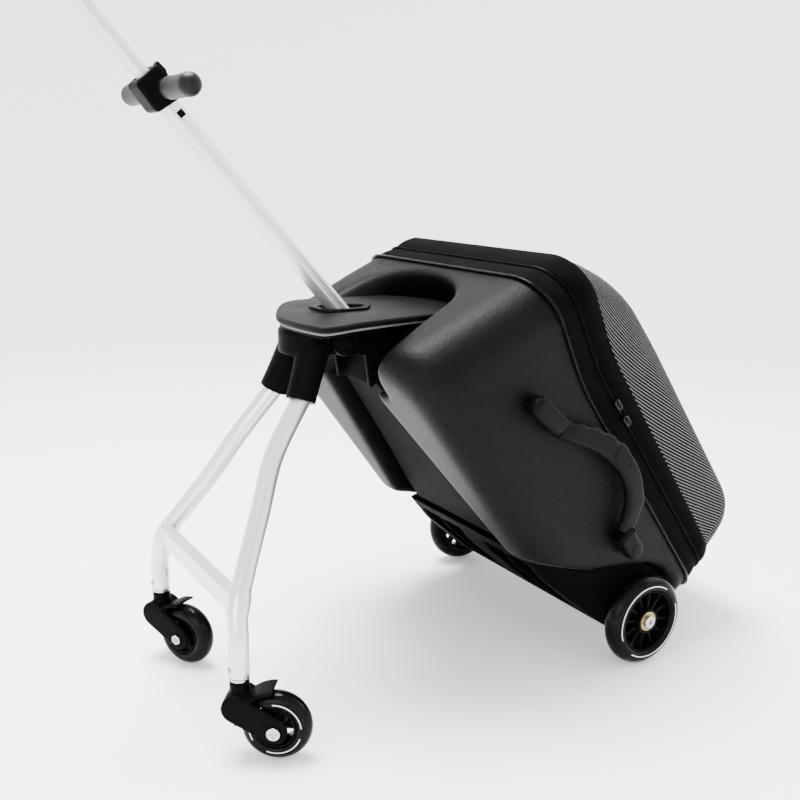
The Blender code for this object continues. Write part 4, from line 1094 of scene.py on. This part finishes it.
def carry_grip():
    """A flat loop of rubber with finger bumps, a hook and a bare oval badge."""
    x = HANDLE_AXIS[0]
    path = smooth_path([(0.0, u, n) for u, n in GRIP_KNOTS], 12)
    points = []
    sections = []
    for i, point in enumerate(path):
        t = i / (len(path) - 1)
        bulge = math.sin(math.pi * t)
        bump = 0.0
        if 0.10 < t < 0.46:
            bump = 0.0022 * abs(math.sin(math.pi * 4 * (t - 0.10) / 0.36))
        if 0.66 < t < 0.76:
            bump = 0.0034 * (t - 0.66) / 0.10
        section = [(a, b - bump * max(-b, 0.0) / 0.0104)
                   for a, b in rounded(0.0052 + 0.0008 * bulge, 0.0088 + 0.0026 * bulge, 0.0046, 6)]
        points.append((x + 0.0035 * bulge, point.y, point.z))
        sections.append(section)
    middle = round(0.44 * (len(path) - 1))
    centre = (path[middle].y, path[middle].z)
    ahead = path[middle + 1] - path[middle - 1]
    heading = math.atan2(ahead.z, ahead.y)
    face = x + 0.0095
    rim = ellipse(centre, 0.0145, 0.0088, heading)
    opening = ellipse(centre, 0.0130, 0.0073, heading)
    badge = slab(rim, face - 0.0030, face + 0.0006, 0.0008, 4, [opening])
    plate = slab(ellipse(centre, 0.0132, 0.0075, heading), face - 0.0030, face - 0.0002, 0.0003, 2)
    return merged((sweep(points, sections), WORLD), (badge, SIDE_VIEW), (plate, SIDE_VIEW))


def handle_cap(far, end, side):
    limit = end + side * 0.0004
    n = HANDLE_AXIS[1]
    outline = []
    for u, level in slot_outline(far, (end - side * 0.006, n), 0.0104, 0.0108, 20):
        outline.append((min(u, limit) if side < 0 else max(u, limit), level))
    face = HALF_WIDTH + 0.0185
    pad = ellipse((far[0] - side * 0.0010, far[1]), 0.0078, 0.0056, math.atan2(n - far[1], end - far[0]))
    return merged((slab(outline, HALF_WIDTH + 0.0016, face, 0.0045, 6), WORLD),
                  (slab(pad, face - 0.0030, face + 0.0007, 0.0009, 4), WORLD))


# Wheels

def tyre(radius, width, inner):
    half = width / 2
    crown = []
    for i in range(25):
        angle = math.radians(90 - 180 * i / 24)
        crown.append((radius - half * 0.92 + half * 0.92 * math.cos(angle), half * 0.96 * math.sin(angle)))
    lip = [(inner + 0.0030, -half * 0.96), (inner + 0.0012, -half * 0.93), (inner, -half * 0.80)]
    return turned(crown + lip + [(r, -z) for r, z in reversed(lip)], 128)


def ring_arcs(radius, width, low, high, arcs):
    """The printed ring: thin arcs with bare gaps between them."""
    shapes = []
    for start, end in arcs:
        steps = max(round((end - start) / 3), 4)
        outline = corner((0, 0), radius + width / 2, start, end, steps)
        outline += corner((0, 0), radius - width / 2, end, start, steps)
        shapes.append((slab(outline, low, high, 0.0001, 1), WORLD))
    return merged(*shapes)


def spoked_wheel(rim, boss, bore, width, spokes, spoke_width):
    """Rim, boss and spokes, each with moulded edges."""
    half = width / 2
    ring = [(rim, half * 0.9), (rim - 0.0004, half), (rim - 0.0018, half), (rim - 0.0024, half * 0.90),
            (rim - 0.0028, half * 0.5), (rim - 0.0028, -half * 0.5), (rim - 0.0024, -half * 0.90),
            (rim - 0.0018, -half), (rim - 0.0004, -half), (rim, -half * 0.9)]
    centre = [(bore, half), (boss - 0.0008, half), (boss, half * 0.92), (boss + 0.0006, half * 0.4),
              (boss + 0.0006, -half * 0.4), (boss, -half * 0.92), (boss - 0.0008, -half), (bore, -half)]
    shapes = [(turned(ring, 96), WORLD), (turned(centre, 64), WORLD)]
    for i in range(spokes):
        reach = rim - 0.0020
        start = boss - 0.0010
        w = spoke_width / 2
        edge = [(start, w * 1.5), (start + 0.004, w), (reach - 0.003, w), (reach, w * 1.7)]
        outline = [(r, -z) for r, z in edge] + edge[::-1]
        shapes.append((slab(outline, -half * 0.5, half * 0.55, 0.0005, 3),
                       Matrix.Rotation(2 * math.pi * (i + 0.5) / spokes, 4, "Z")))
    return merged(*shapes)


def hexagon(across):
    return circle(across, 6)


def cross(reach, width):
    points = []
    for k in range(4):
        turn = Matrix.Rotation(math.pi / 2 * k, 2)
        points += [tuple(turn @ Vector(point)) for point in ((reach, -width), (reach, width), (width, width))]
    return points


def bolt_head(radius, low, high, recess):
    """A bolt head with a recess of a given outline and a floor to it."""
    edge = 0.0006
    floor = low + (high - low) * 0.45
    return merged((slab(circle(radius, 48), low, high, edge, 4, [recess]), WORLD),
                  (slab(circle(radius - edge * 1.2, 48), low + 0.0001, floor), WORLD))


# Leg frame

SOCKET_TOP = (0.0225, PIVOT[0] - 0.012, PIVOT[1] - 0.016)
SOCKET_END = (0.0310, AXLE_Y - 0.3390, 0.3050)
BAR_Y = AXLE_Y - 0.4385
BAR_Z = 0.1440


def knuckle():
    """The hinge half on the legs: a rounded nose and two flared, finned sockets."""
    y, z = PIVOT
    nose = [(0.0350 * math.cos(math.radians(a)), y - 0.0180 - 0.0355 * math.sin(math.radians(a)) ** 0.85)
            for a in range(0, 181, 6)]
    nose += [(-0.0298, y - 0.0170), (-0.0298, y + 0.0040), (0.0298, y + 0.0040), (0.0298, y - 0.0170)]
    shapes = [(slab(nose, z - 0.0145, z + 0.0118, 0.0040, 4), WORLD),
              (rod(0.0122, -0.0298, 0.0298), on_x_axis(WORLD, (0, y, z)))]
    for side in (1, -1):
        top = Vector((side * 0.0195, y - 0.0270, z - 0.0030))
        end = Vector((side * SOCKET_END[0], *SOCKET_END[1:]))
        path = [top.lerp(end, i / 6) for i in range(7)]
        sections = [circle(radius) for radius in (0.0168, 0.0163, 0.0158, 0.0154, 0.0151, 0.0150, 0.0150)]
        fin = [(y - 0.0200, z - 0.0100), (y - 0.0440, z - 0.0100), (y - 0.0570, z - 0.0350),
               (y - 0.0350, z - 0.0350)]
        shapes.append((sweep(path, sections), WORLD))
        shapes.append((slab(fin, side * 0.0262 - 0.0010, side * 0.0262 + 0.0010), SIDE_VIEW))
    rough = helper(merged(*shapes), WORLD)
    bm = worked(rough, moulding(0.0008, 5))
    drop(rough)
    return bm


def leg_path(side):
    top = Vector(SOCKET_TOP).lerp(Vector(SOCKET_END), 0.85)
    knots = [top, SOCKET_END, (0.0440, AXLE_Y - 0.3740, 0.2580), (0.0640, AXLE_Y - 0.3980, 0.2130),
             (0.0980, AXLE_Y - 0.4350, 0.1480), (FRONT_TRACK / 2, AXLE_Y - 0.4422, 0.1130),
             (FRONT_TRACK / 2, STEM_Y, 0.0900), (FRONT_TRACK / 2, STEM_Y, TUBE_END_Z + 0.0034)]
    return smooth_path([(side * k[0], k[1], k[2]) for k in knots], 12)


def crossbar():
    bar = helper(slab(slot_outline((BAR_Y, BAR_Z - 0.0070), (BAR_Y, BAR_Z + 0.0070), 0.0065, 0.0065),
                      -0.0985, 0.0985), SIDE_VIEW)
    drains = []
    for side in (1, -1):
        place = Matrix.Translation((side * 0.083, BAR_Y, BAR_Z + 0.006))
        drains.append(helper(rod(0.0012, -0.02, 0.02, 20), place @ Matrix.Rotation(math.pi / 2, 4, "X")))
    bm = worked(bar, cut_with(*drains))
    drop(bar, *drains)
    return bm


def weld_bead(side):
    """The soft bead where the crossbar meets a leg."""
    path = leg_path(side)
    nearest = min(range(len(path)), key=lambda i: abs(path[i].z - BAR_Z))
    heading = (path[nearest + 1] - path[nearest - 1]).normalized()
    turn = Vector((0, 0, 1)).rotation_difference(heading).to_matrix().to_4x4()
    swell = [(LEG_RADIUS - 0.002, -0.015), (LEG_RADIUS, -0.015), (LEG_RADIUS + 0.0004, -0.013),
             (LEG_RADIUS + 0.0012, -0.006), (LEG_RADIUS + 0.0014, 0.0), (LEG_RADIUS + 0.0012, 0.006),
             (LEG_RADIUS + 0.0004, 0.013), (LEG_RADIUS, 0.015), (LEG_RADIUS - 0.002, 0.015)]
    return turned(swell, 48), Matrix.Translation(path[nearest]) @ turn


# Seat

SEAT_REAR = AXLE_Y - 0.1545
SEAT_HALF_REAR = 0.0740
SEAT_EDGE = ((-0.0740, SEAT_REAR - 0.0520), (-0.0810, 0.0050), (-0.0850, -0.0250), (-0.0810, -0.0460),
             (-0.0646, -0.0640), (-0.0400, -0.0800), (-0.0102, -0.0955), (0.0100, -0.1040),
             (0.0290, -0.1080), (0.0597, -0.1074), (0.0840, -0.1035), (0.0950, -0.0995),
             (0.0985, -0.0930), (0.0965, -0.0800), (0.0885, -0.0563), (0.0800, -0.0094),
             (0.0740, SEAT_REAR - 0.0520))


def seat_outline(inset=0.0):
    """Plan outline of the plate: a sweeping front edge, narrower round rear."""
    outline = [(p.x, p.y) for p in smooth_path([(x, y, 0.0) for x, y in SEAT_EDGE], 5)]
    for a in range(6, 180, 6):
        angle = math.radians(a)
        outline.append((SEAT_HALF_REAR * math.cos(angle), SEAT_REAR - 0.052 + 0.052 * math.sin(angle)))
    return drawn_in(cleaned(outline, False), inset)


def pole_hole(half_x, front, rear, notch):
    """The slot round the pole, with the notch at its rear."""
    y = AXLE_Y - 0.2800
    right = [(half_x * 0.55, y - front), (half_x * 0.90, y - front + 0.0030), (half_x, y - front + 0.0100),
             (half_x, y + rear - 0.0140), (half_x * 0.80, y + rear - 0.0040),
             (half_x * 0.48, y + rear + notch * 0.3), (half_x * 0.20, y + rear + notch)]
    knots = right + [(-px, py) for px, py in reversed(right)]
    closed = smooth_path([(px, py, 0.0) for px, py in knots[-2:] + knots + knots[:2]], 4)
    return [(p.x, p.y) for p in closed[8:8 + 4 * len(knots)]]


# Pole

OUTER_HALF = (0.0115, 0.0090)
INNER_HALF = (0.0092, 0.0067)
OUTER_ENDS = (-0.706, -0.262)
INNER_ENDS = (-0.965, -0.560)


def grooved_section(half_x, half_m, groove):
    """An oval tube section with a shallow groove down either flat side."""
    lower = [(half_x, -half_m * 0.30), (half_x - groove * 0.3, -half_m * 0.25),
             (half_x - groove, -half_m * 0.20)]
    right = lower + [(x, -m) for x, m in reversed(lower)]
    top = [(half_x * math.cos(math.radians(a)), half_m * 0.35 + half_m * 0.65 * math.sin(math.radians(a)))
           for a in range(6, 180, 6)]
    return right + top + [(-x, -m) for x, m in right] + [(-x, -m) for x, m in top]


# Operators, one for each group of pieces

class SUITCASE_OT_shell(bpy.types.Operator):
    """Moulded rear shell with its seat recess, channel and wheel arches"""
    bl_idname = "suitcase.shell"
    bl_label = "Rear shell"

    def execute(self, context):
        voxel = context.scene.suitcase_case.shell_voxel
        piece("shell", rear_shell(voxel), WORLD, shell_leather(), "case", ("rear_shell",), 50)
        return {"FINISHED"}


class SUITCASE_OT_edges(bpy.types.Operator):
    """Piping, cloth gussets, zip and its sliders"""
    bl_idname = "suitcase.edges"
    bl_label = "Piping, gussets and zip"

    def execute(self, context):
        bead = [(-0.0009 + r, SEAM - 0.0006 + z) for r, z in circle(0.0018, 14)]
        piece("piping", band(bead), CASE, piping_gloss(), "case", ("piping_bead",), 60)
        low = cloth_section(SEAM + 0.0004, ZIP_LOW - 0.0004, 0.0004, 0.0024, 0.0016)
        piece("gusset_cloth_shell", band(low), CASE, gusset_cloth(), "case",
              ("shell_gusset",), 60)
        high = cloth_section(LID_BASE, LID_STEP, 0.0022, 0.0030, 0.0024)
        piece("gusset_cloth_lid", band(high, lid_ring), CASE, gusset_cloth(), "lid",
              ("lid_gusset",), 60)
        piece("zip_teeth", zip_teeth(), CASE, satin_plastic(), "case", ("zip_chain",), 30)
        repaint(trim_plain(), "lid_hinge_tape")
        repaint(lining(), "lid_liner")
        middle = (ZIP_LOW + ZIP_HIGH) / 2
        for number, u in ((1, -0.228), (2, -0.205)):
            x = HALF_WIDTH
            body = merged((slab(rounded(0.0060, 0.0036, 0.0020, 5), x + 0.0006, x + 0.0034, 0.0008, 3),
                           Matrix.Translation((u, middle, 0))),
                          (slab(rounded(0.0045, 0.0012, 0.0008, 4), x + 0.0034, x + 0.0058, 0.0005, 2, [
                              rounded(0.0030, 0.0004, 0.0003, 2)]), Matrix.Translation((u, middle, 0))))
            piece(f"slider_{number}", body, CASE @ SIDE_VIEW, gunmetal(), f"slider_{number}",
                  (f"zip_slider_{number}",))
            tab = slab(rounded(0.0023, 0.0024, 0.0009, 4), x + 0.0038, x + 0.0044, 0.0002, 2)
            where = CASE @ SIDE_VIEW @ Matrix.Translation((u, middle, 0))
            piece(f"pull_tab_{number}", tab, where, gunmetal(), f"slider_{number}",
                  (f"zip_pull_{number}",))
        return {"FINISHED"}


class SUITCASE_OT_lid(bpy.types.Operator):
    """Knitted mesh over the sides and the crowned face of the lid"""
    bl_idname = "suitcase.lid"
    bl_label = "Lid"

    def execute(self, context):
        piece("lid_mesh", lid_sheet(), CASE, lid_mesh(), "lid", ("lid_panel",), 60)
        return {"FINISHED"}


class SUITCASE_OT_handle(bpy.types.Operator):
    """Carry handle and the caps that hold its ends"""
    bl_idname = "suitcase.handle"
    bl_label = "Carry handle"

    def execute(self, context):
        piece("grip_loop", carry_grip(), CASE, grip_rubber(), "carry_handle",
              ("carry_grip",), 50)
        for word, far, end, side in (("upper", (-0.3035, 0.0215), HANDLE_ENDS[0], -1),
                                     ("lower", (-0.0860, 0.0300), HANDLE_ENDS[1], 1)):
            piece(f"grip_cap_{word}", handle_cap(far, end, side), CASE @ SIDE_VIEW, grip_rubber(), "case",
                  (f"handle_cap_{word}",), 50)
        return {"FINISHED"}


class SUITCASE_OT_chassis(bpy.types.Operator):
    """Spine in the channel and the chassis that carries the axle"""
    bl_idname = "suitcase.chassis"
    bl_label = "Spine and chassis"

    def execute(self, context):
        softened("spine_moulding", "spine", 0.0020, 3, chassis_plastic(), "case")
        softened("chassis_moulding", "chassis", 0.0020, 3, chassis_plastic(), "case")
        repaint(bright_steel(), "rear_axle")
        return {"FINISHED"}


class SUITCASE_OT_rear_wheels(bpy.types.Operator):
    """Spoked rear wheels with glossy tyres"""
    bl_idname = "suitcase.rear_wheels"
    bl_label = "Rear wheels"

    def execute(self, context):
        spokes = context.scene.suitcase_stage.wheel_spokes
        for side, word in SIDES:
            where = wheel_frame(side, False)
            body = f"rear_wheel_{word}"
            piece(f"tyre_{word}", tyre(REAR_RADIUS, REAR_WIDTH, 0.0350), where, tyre_gloss(), body,
                  (f"rear_tyre_{word}",), 50)
            arcs = ring_arcs(0.0400, 0.0011, 0.0111, 0.01158, REAR_ARCS)
            piece(f"tyre_ring_{word}", arcs, where, ring_print(), body)
            wheel = spoked_wheel(0.0347, 0.0140, 0.0112, 0.0200, spokes, 0.0026)
            piece(f"spokes_{word}", wheel, where, hub_plastic(), body, (f"rear_hub_{word}",))
            shield = [(0.0043, 0.0052), (0.0109, 0.0052), (0.0109, 0.0094), (0.0106, 0.0097),
                      (0.0100, 0.0097), (0.0097, 0.0092), (0.0078, 0.0092), (0.0075, 0.0096),
                      (0.0043, 0.0096)]
            piece(f"bearing_{word}", turned(shield), where, bearing_gold(), body,
                  (f"rear_bearing_{word}",))
            bolt = bolt_head(0.0068, 0.0100, 0.0130, hexagon(0.0030))
            piece(f"wheel_bolt_{word}", bolt, where, bright_steel(), "case", (f"rear_bolt_{word}",))
        return {"FINISHED"}


class SUITCASE_OT_castors(bpy.types.Operator):
    """Front castors: moulded forks, wheels and cross-head bolts"""
    bl_idname = "suitcase.castors"
    bl_label = "Castors"

    def execute(self, context):
        half = FRONT_WIDTH / 2
        for side, word in SIDES:
            where = wheel_frame(side, True)
            body = f"castor_wheel_{word}"
            softened(f"fork_{word}", f"castor_fork_{word}", 0.0009, 8, satin_plastic(), f"castor_{word}")
            piece(f"small_tyre_{word}", tyre(FRONT_RADIUS, FRONT_WIDTH, 0.0195), where, tyre_gloss(), body,
                  (f"castor_tyre_{word}",), 50)
            arcs = ring_arcs(0.0240, 0.0009, 0.0100, 0.01062, FRONT_ARCS)
            piece(f"small_ring_{word}", arcs, where, ring_print(), body)
            wheel = spoked_wheel(0.0192, 0.0080, 0.0037, 0.0190, 6, 0.0030)
            piece(f"small_spokes_{word}", wheel, where, hub_plastic(), body,
                  (f"castor_hub_{word}",))
            bolt = merged((rod(0.0034, -half - 0.0085, half + 0.0062), WORLD),
                          (bolt_head(0.0062, half + 0.0060, half + 0.0084, cross(0.0034, 0.0007)), WORLD),
                          (slab(hexagon(0.0056), -half - 0.0085, -half - 0.0060, 0.0004, 2), WORLD))
            piece(f"cross_bolt_{word}", bolt, where, bright_steel(), f"castor_{word}",
                  (f"castor_bolt_{word}",))
        return {"FINISHED"}


class SUITCASE_OT_legs(bpy.types.Operator):
    """Leg tubes, crossbar, weld beads, rivets and end bands"""
    bl_idname = "suitcase.legs"
    bl_label = "Leg frame"

    def execute(self, context):
        piece("cross_tube", crossbar(), WORLD, powder_coat(), "leg_frame", ("crossbar",), 50)
        for side, word in SIDES:
            tube = sweep(leg_path(side), circle(LEG_RADIUS, 40))
            piece(f"leg_{word}", tube, WORLD, powder_coat(), "leg_frame",
                  (f"leg_tube_{word}",), 60)
            bead, where = weld_bead(side)
            piece(f"weld_{word}", bead, where, powder_coat(), "leg_frame", (), 60)
            ring = [(0.0064, TUBE_END_Z), (0.0092, TUBE_END_Z), (0.0096, TUBE_END_Z + 0.0005),
                    (0.0096, TUBE_END_Z + 0.0025), (0.0092, TUBE_END_Z + 0.0029),
                    (0.0064, TUBE_END_Z + 0.0029)]
            piece(f"end_band_{word}", turned(ring), castor_frame(side), bright_steel(), "leg_frame",
                  (f"tube_end_ring_{word}",))
            dome = [(0.0001, 0.0002), (0.0028, 0.0002), (0.0028, 0.0006), (0.0022, 0.0012), (0.0012, 0.0016),
                    (0.0001, 0.0017)]
            place = Matrix.Translation((side * FRONT_TRACK / 2, STEM_Y - LEG_RADIUS, TUBE_END_Z + 0.010))
            place = place @ Matrix.Rotation(math.pi / 2, 4, "X") @ Matrix.Diagonal((0.85, 1.2, 1.0, 1.0))
            piece(f"rivet_{word}", turned(dome, 32), place, bright_steel(), "leg_frame",
                  (f"leg_rivet_{word}",))
        return {"FINISHED"}


class SUITCASE_OT_knuckle(bpy.types.Operator):
    """Hinge that the legs fold on, with its cheeks and caps"""
    bl_idname = "suitcase.knuckle"
    bl_label = "Leg hinge"

    def execute(self, context):
        piece("knuckle", knuckle(), WORLD, satin_plastic(), "leg_frame", ("leg_yoke",), 60)
        softened("cheeks", "hinge_bracket", 0.0010, 6, satin_plastic(), "case")
        cap = [(0.0001, 0.0363), (0.0120, 0.0363), (0.0120, 0.0371), (0.0114, 0.0378), (0.0104, 0.0380),
               (0.0098, 0.0375), (0.0090, 0.0373), (0.0082, 0.0376), (0.0076, 0.0381), (0.0068, 0.0381),
               (0.0064, 0.0376), (0.0056, 0.0374), (0.0050, 0.0380), (0.0040, 0.0386), (0.0020, 0.0389),
               (0.0001, 0.0390)]
        for side, word in SIDES:
            where = Matrix.Translation((0, *PIVOT)) @ Matrix.Rotation(side * math.pi / 2, 4, "Y")
            piece(f"hinge_cap_{word}", turned(cap), where, satin_plastic(), "case",
                  (f"pivot_cap_{word}",))
        repaint(bright_steel(), "pivot_pin", "catch_pin")
        return {"FINISHED"}


class SUITCASE_OT_seat(bpy.types.Operator):
    """Seat plate, the layer under it and the grommet round the pole"""
    bl_idname = "suitcase.seat"
    bl_label = "Seat"

    def execute(self, context):
        low = SEAT_TOP - 0.0060
        hole = pole_hole(0.0205, 0.0245, 0.0265, 0.0060)
        piece("seat_top", slab(seat_outline(), low, SEAT_TOP, 0.0022, 5, [hole]), WORLD, seat_plastic(),
              "case", ("seat_plate",), 50)
        piece("seat_layer", slab(seat_outline(0.0030), low - 0.0024, low, 0.0005, 2, [hole]), WORLD,
              layer_plastic(), "case", ("seat_underlayer",), 50)
        piece("seat_base", slab(seat_outline(0.0065), low - 0.0054, low - 0.0024, 0.0010, 3, [hole]), WORLD,
              satin_plastic(), "case", (), 50)
        rim = slab(pole_hole(0.0222, 0.0262, 0.0288, 0.0062), SEAT_TOP - 0.0040, SEAT_TOP + 0.0026, 0.0016, 5,
                   [pole_hole(0.0146, 0.0184, 0.0225, 0.0050)])
        piece("grommet", rim, WORLD, satin_plastic(), "case", ("pole_grommet",), 50)
        return {"FINISHED"}


class SUITCASE_OT_pole(bpy.types.Operator):
    """Telescopic pole in two anodised tubes"""
    bl_idname = "suitcase.pole"
    bl_label = "Pole"

    def execute(self, context):
        bore = grooved_section(OUTER_HALF[0] - 0.0016, OUTER_HALF[1] - 0.0016, 0.0004)
        tube = helper(slab(grooved_section(*OUTER_HALF, 0.0007), *OUTER_ENDS, 0.0003, 2, [bore]), DOWN_POLE)
        window = helper(block((0.0, -0.6790, -0.0022), (0.02, -0.6722, 0.0044)), POLE)
        piece("pole_lower", worked(tube, cut_with(window)), WORLD, pole_anodised(), "outer_tube",
              ("pole_outer",), 25)
        drop(tube, window)
        plug = block((0.0095, -0.6788, -0.0020), (0.0106, -0.6724, 0.0042), 0.0004)
        piece("lock_plug", plug, POLE, satin_plastic(), "outer_tube")
        bore = rounded(0.0070, 0.0045, 0.003)
        inner = slab(grooved_section(*INNER_HALF, 0.0008), *INNER_ENDS, 0.0003, 2, [bore])
        piece("pole_upper", inner, DOWN_POLE, pole_anodised(), "inner_tube", ("pole_inner",), 25)
        return {"FINISHED"}


class SUITCASE_OT_bars(bpy.types.Operator):
    """Child's T-bar with its clamp, and the pull handle on top"""
    bl_idname = "suitcase.bars"
    bl_label = "T-bar and pull handle"

    def execute(self, context):
        softened("clamp", "t_bar_collar", 0.0008, 8, satin_plastic(), "outer_tube")
        softened("lever_blade", "collar_lever", 0.0005, 3, satin_plastic(), "lever")
        grip = [(0.0001, 0.0303), (0.0086, 0.0303), (0.0092, 0.0308), (0.0098, 0.0340), (0.0096, 0.0450),
                (0.0094, 0.0560), (0.0096, 0.0660), (0.0098, 0.0740)]
        grip += [(0.0100 * math.cos(math.radians(a)), 0.0780 + 0.0100 * math.sin(math.radians(a)))
                 for a in range(0, 90, 6)] + [(0.0001, 0.0880)]
        for side, word in SIDES:
            where = POLE @ Matrix.Translation(GRIP_SPOT) @ Matrix.Rotation(side * math.pi / 2, 4, "Y")
            piece(f"bar_grip_{word}", turned(grip), where, bar_rubber(), "outer_tube",
                  (f"t_grip_{word}",), 50)
        softened("handle_body", "pull_handle", 0.0010, 6, bar_rubber(), "inner_tube")
        button = slab(rounded(0.0094, 0.0054, 0.0020, 5), 0.9895, 0.9955, 0.0010, 3)
        turn = POLE @ Matrix(((1, 0, 0, 0), (0, 0, -1, 0), (0, 1, 0, 0), (0, 0, 0, 1)))
        piece("button_cap", button, turn, satin_plastic(), "button", ("pull_button",))
        return {"FINISHED"}


SKY_STRENGTH = 1.9
CAMERA_LENS = 43.78
CAMERA_SPOT = (0.8625, AXLE_Y - 0.7379, 0.5285)
CAMERA_AZIMUTH = 1.0185
CAMERA_DROP = 0.2373
CAMERA_ROLL = -0.0072


class SUITCASE_OT_stage(bpy.types.Operator):
    """Pale floor, soft studio light and the camera"""
    bl_idname = "suitcase.stage"
    bl_label = "Stage"

    def execute(self, context):
        stage = context.scene.suitcase_stage
        profile = [(0.0, 0.0), (1.9, 0.0)] + corner((1.9, 1.2), 1.2, -90, 0, 24) + [(3.1, 3.2)]
        bm = bmesh.new()
        verts = [bm.verts.new((max(radius, 0.00001), 0, height)) for radius, height in profile]
        edges = [bm.edges.new(pair) for pair in zip(verts, verts[1:])]
        bmesh.ops.spin(bm, geom=verts + edges, axis=(0, 0, 1), cent=(0, 0, 0), dvec=(0, 0, 0),
                       angle=2 * math.pi, steps=96, use_merge=True, use_duplicate=False)
        bmesh.ops.remove_doubles(bm, verts=bm.verts, dist=0.0001)
        bmesh.ops.recalc_face_normals(bm, faces=bm.faces)
        floor = as_object("floor", bm, WORLD)
        floor.data.shade_smooth()
        paint = Paint("studio_floor", stage.floor, 0.55, specular=0.25)
        place = paint.place()
        paint.set("Roughness", 0.50 + paint.noise(place, 3.0) * 0.10)
        floor.data.materials.append(paint.material)
        middle = Vector((0, 0.05, 0.30))
        for name, spot, size, power, colour in (
                ("overhead_softbox", (-0.35, -0.2, 2.1), 1.1, stage.key_power, (1.0, 0.99, 0.98)),
                ("side_softbox", (1.3, -1.6, 1.0), 1.4, stage.fill_power, (1.0, 1.0, 1.0)),
                ("back_softbox", (0.6, 1.8, 1.5), 1.4, stage.fill_power * 0.8, (1.0, 1.0, 1.0))):
            light = bpy.data.lights.new(name, "AREA")
            light.shape = "DISK"
            light.size = size
            light.energy = power
            light.color = colour
            lamp = bpy.data.objects.new(name, light)
            context.scene.collection.objects.link(lamp)
            lamp.matrix_world = aimed(Vector(spot), middle)
        world = bpy.data.worlds.new("studio_air")
        world.use_nodes = True
        background = world.node_tree.nodes["Background"]
        background.inputs["Color"].default_value = (1.0, 1.0, 1.0, 1.0)
        background.inputs["Strength"].default_value = SKY_STRENGTH
        context.scene.world = world
        camera_data = bpy.data.cameras.new("camera")
        camera_data.lens = CAMERA_LENS
        camera_data.sensor_width = 36.0
        camera_data.clip_start = 0.02
        camera = bpy.data.objects.new("camera", camera_data)
        context.scene.collection.objects.link(camera)
        camera.matrix_world = camera_pose()
        context.scene.camera = camera
        return {"FINISHED"}


def aimed(spot, target):
    return Matrix.Translation(spot) @ (target - spot).to_track_quat("-Z", "Y").to_matrix().to_4x4()


def camera_pose():
    """The photograph's viewpoint."""
    ahead = Vector((-math.sin(CAMERA_AZIMUTH) * math.cos(CAMERA_DROP),
                    math.cos(CAMERA_AZIMUTH) * math.cos(CAMERA_DROP), -math.sin(CAMERA_DROP)))
    right = Vector((math.cos(CAMERA_AZIMUTH), math.sin(CAMERA_AZIMUTH), 0))
    down = ahead.cross(right)
    level = math.cos(CAMERA_ROLL) * right + math.sin(CAMERA_ROLL) * down
    below = -math.sin(CAMERA_ROLL) * right + math.cos(CAMERA_ROLL) * down
    pose = Matrix((level, -below, -ahead)).transposed().to_4x4()
    return Matrix.Translation(CAMERA_SPOT) @ pose


class SUITCASE_PT_pieces(bpy.types.Panel):
    """Lists the suitcase's operators and settings"""
    bl_idname = "SUITCASE_PT_pieces"
    bl_label = "Ride-on suitcase"
    bl_space_type = "VIEW_3D"
    bl_region_type = "UI"
    bl_category = "Suitcase"

    def draw(self, context):
        scene = context.scene
        for group in (scene.suitcase_case, scene.suitcase_finish, scene.suitcase_stage):
            for name in group.__annotations__:
                self.layout.prop(group, name)
        for operator in OPERATORS:
            self.layout.operator(operator.bl_idname)


OPERATORS = (SUITCASE_OT_stage, SUITCASE_OT_shell, SUITCASE_OT_edges, SUITCASE_OT_lid, SUITCASE_OT_handle,
             SUITCASE_OT_chassis, SUITCASE_OT_rear_wheels, SUITCASE_OT_castors, SUITCASE_OT_legs,
             SUITCASE_OT_knuckle, SUITCASE_OT_seat, SUITCASE_OT_pole, SUITCASE_OT_bars)
CLASSES = (CaseSettings, FinishSettings, StageSettings) + OPERATORS + (SUITCASE_PT_pieces,)


def register():
    for cls in CLASSES:
        bpy.utils.register_class(cls)
    bpy.types.Scene.suitcase_case = PointerProperty(type=CaseSettings)
    bpy.types.Scene.suitcase_finish = PointerProperty(type=FinishSettings)
    bpy.types.Scene.suitcase_stage = PointerProperty(type=StageSettings)


def unregister():
    del bpy.types.Scene.suitcase_case
    del bpy.types.Scene.suitcase_finish
    del bpy.types.Scene.suitcase_stage
    for cls in reversed(CLASSES):
        bpy.utils.unregister_class(cls)


def main():
    register()
    for operator in OPERATORS:
        group, name = operator.bl_idname.split(".")
        getattr(getattr(bpy.ops, group), name)()


if __name__ == "__main__":
    main()
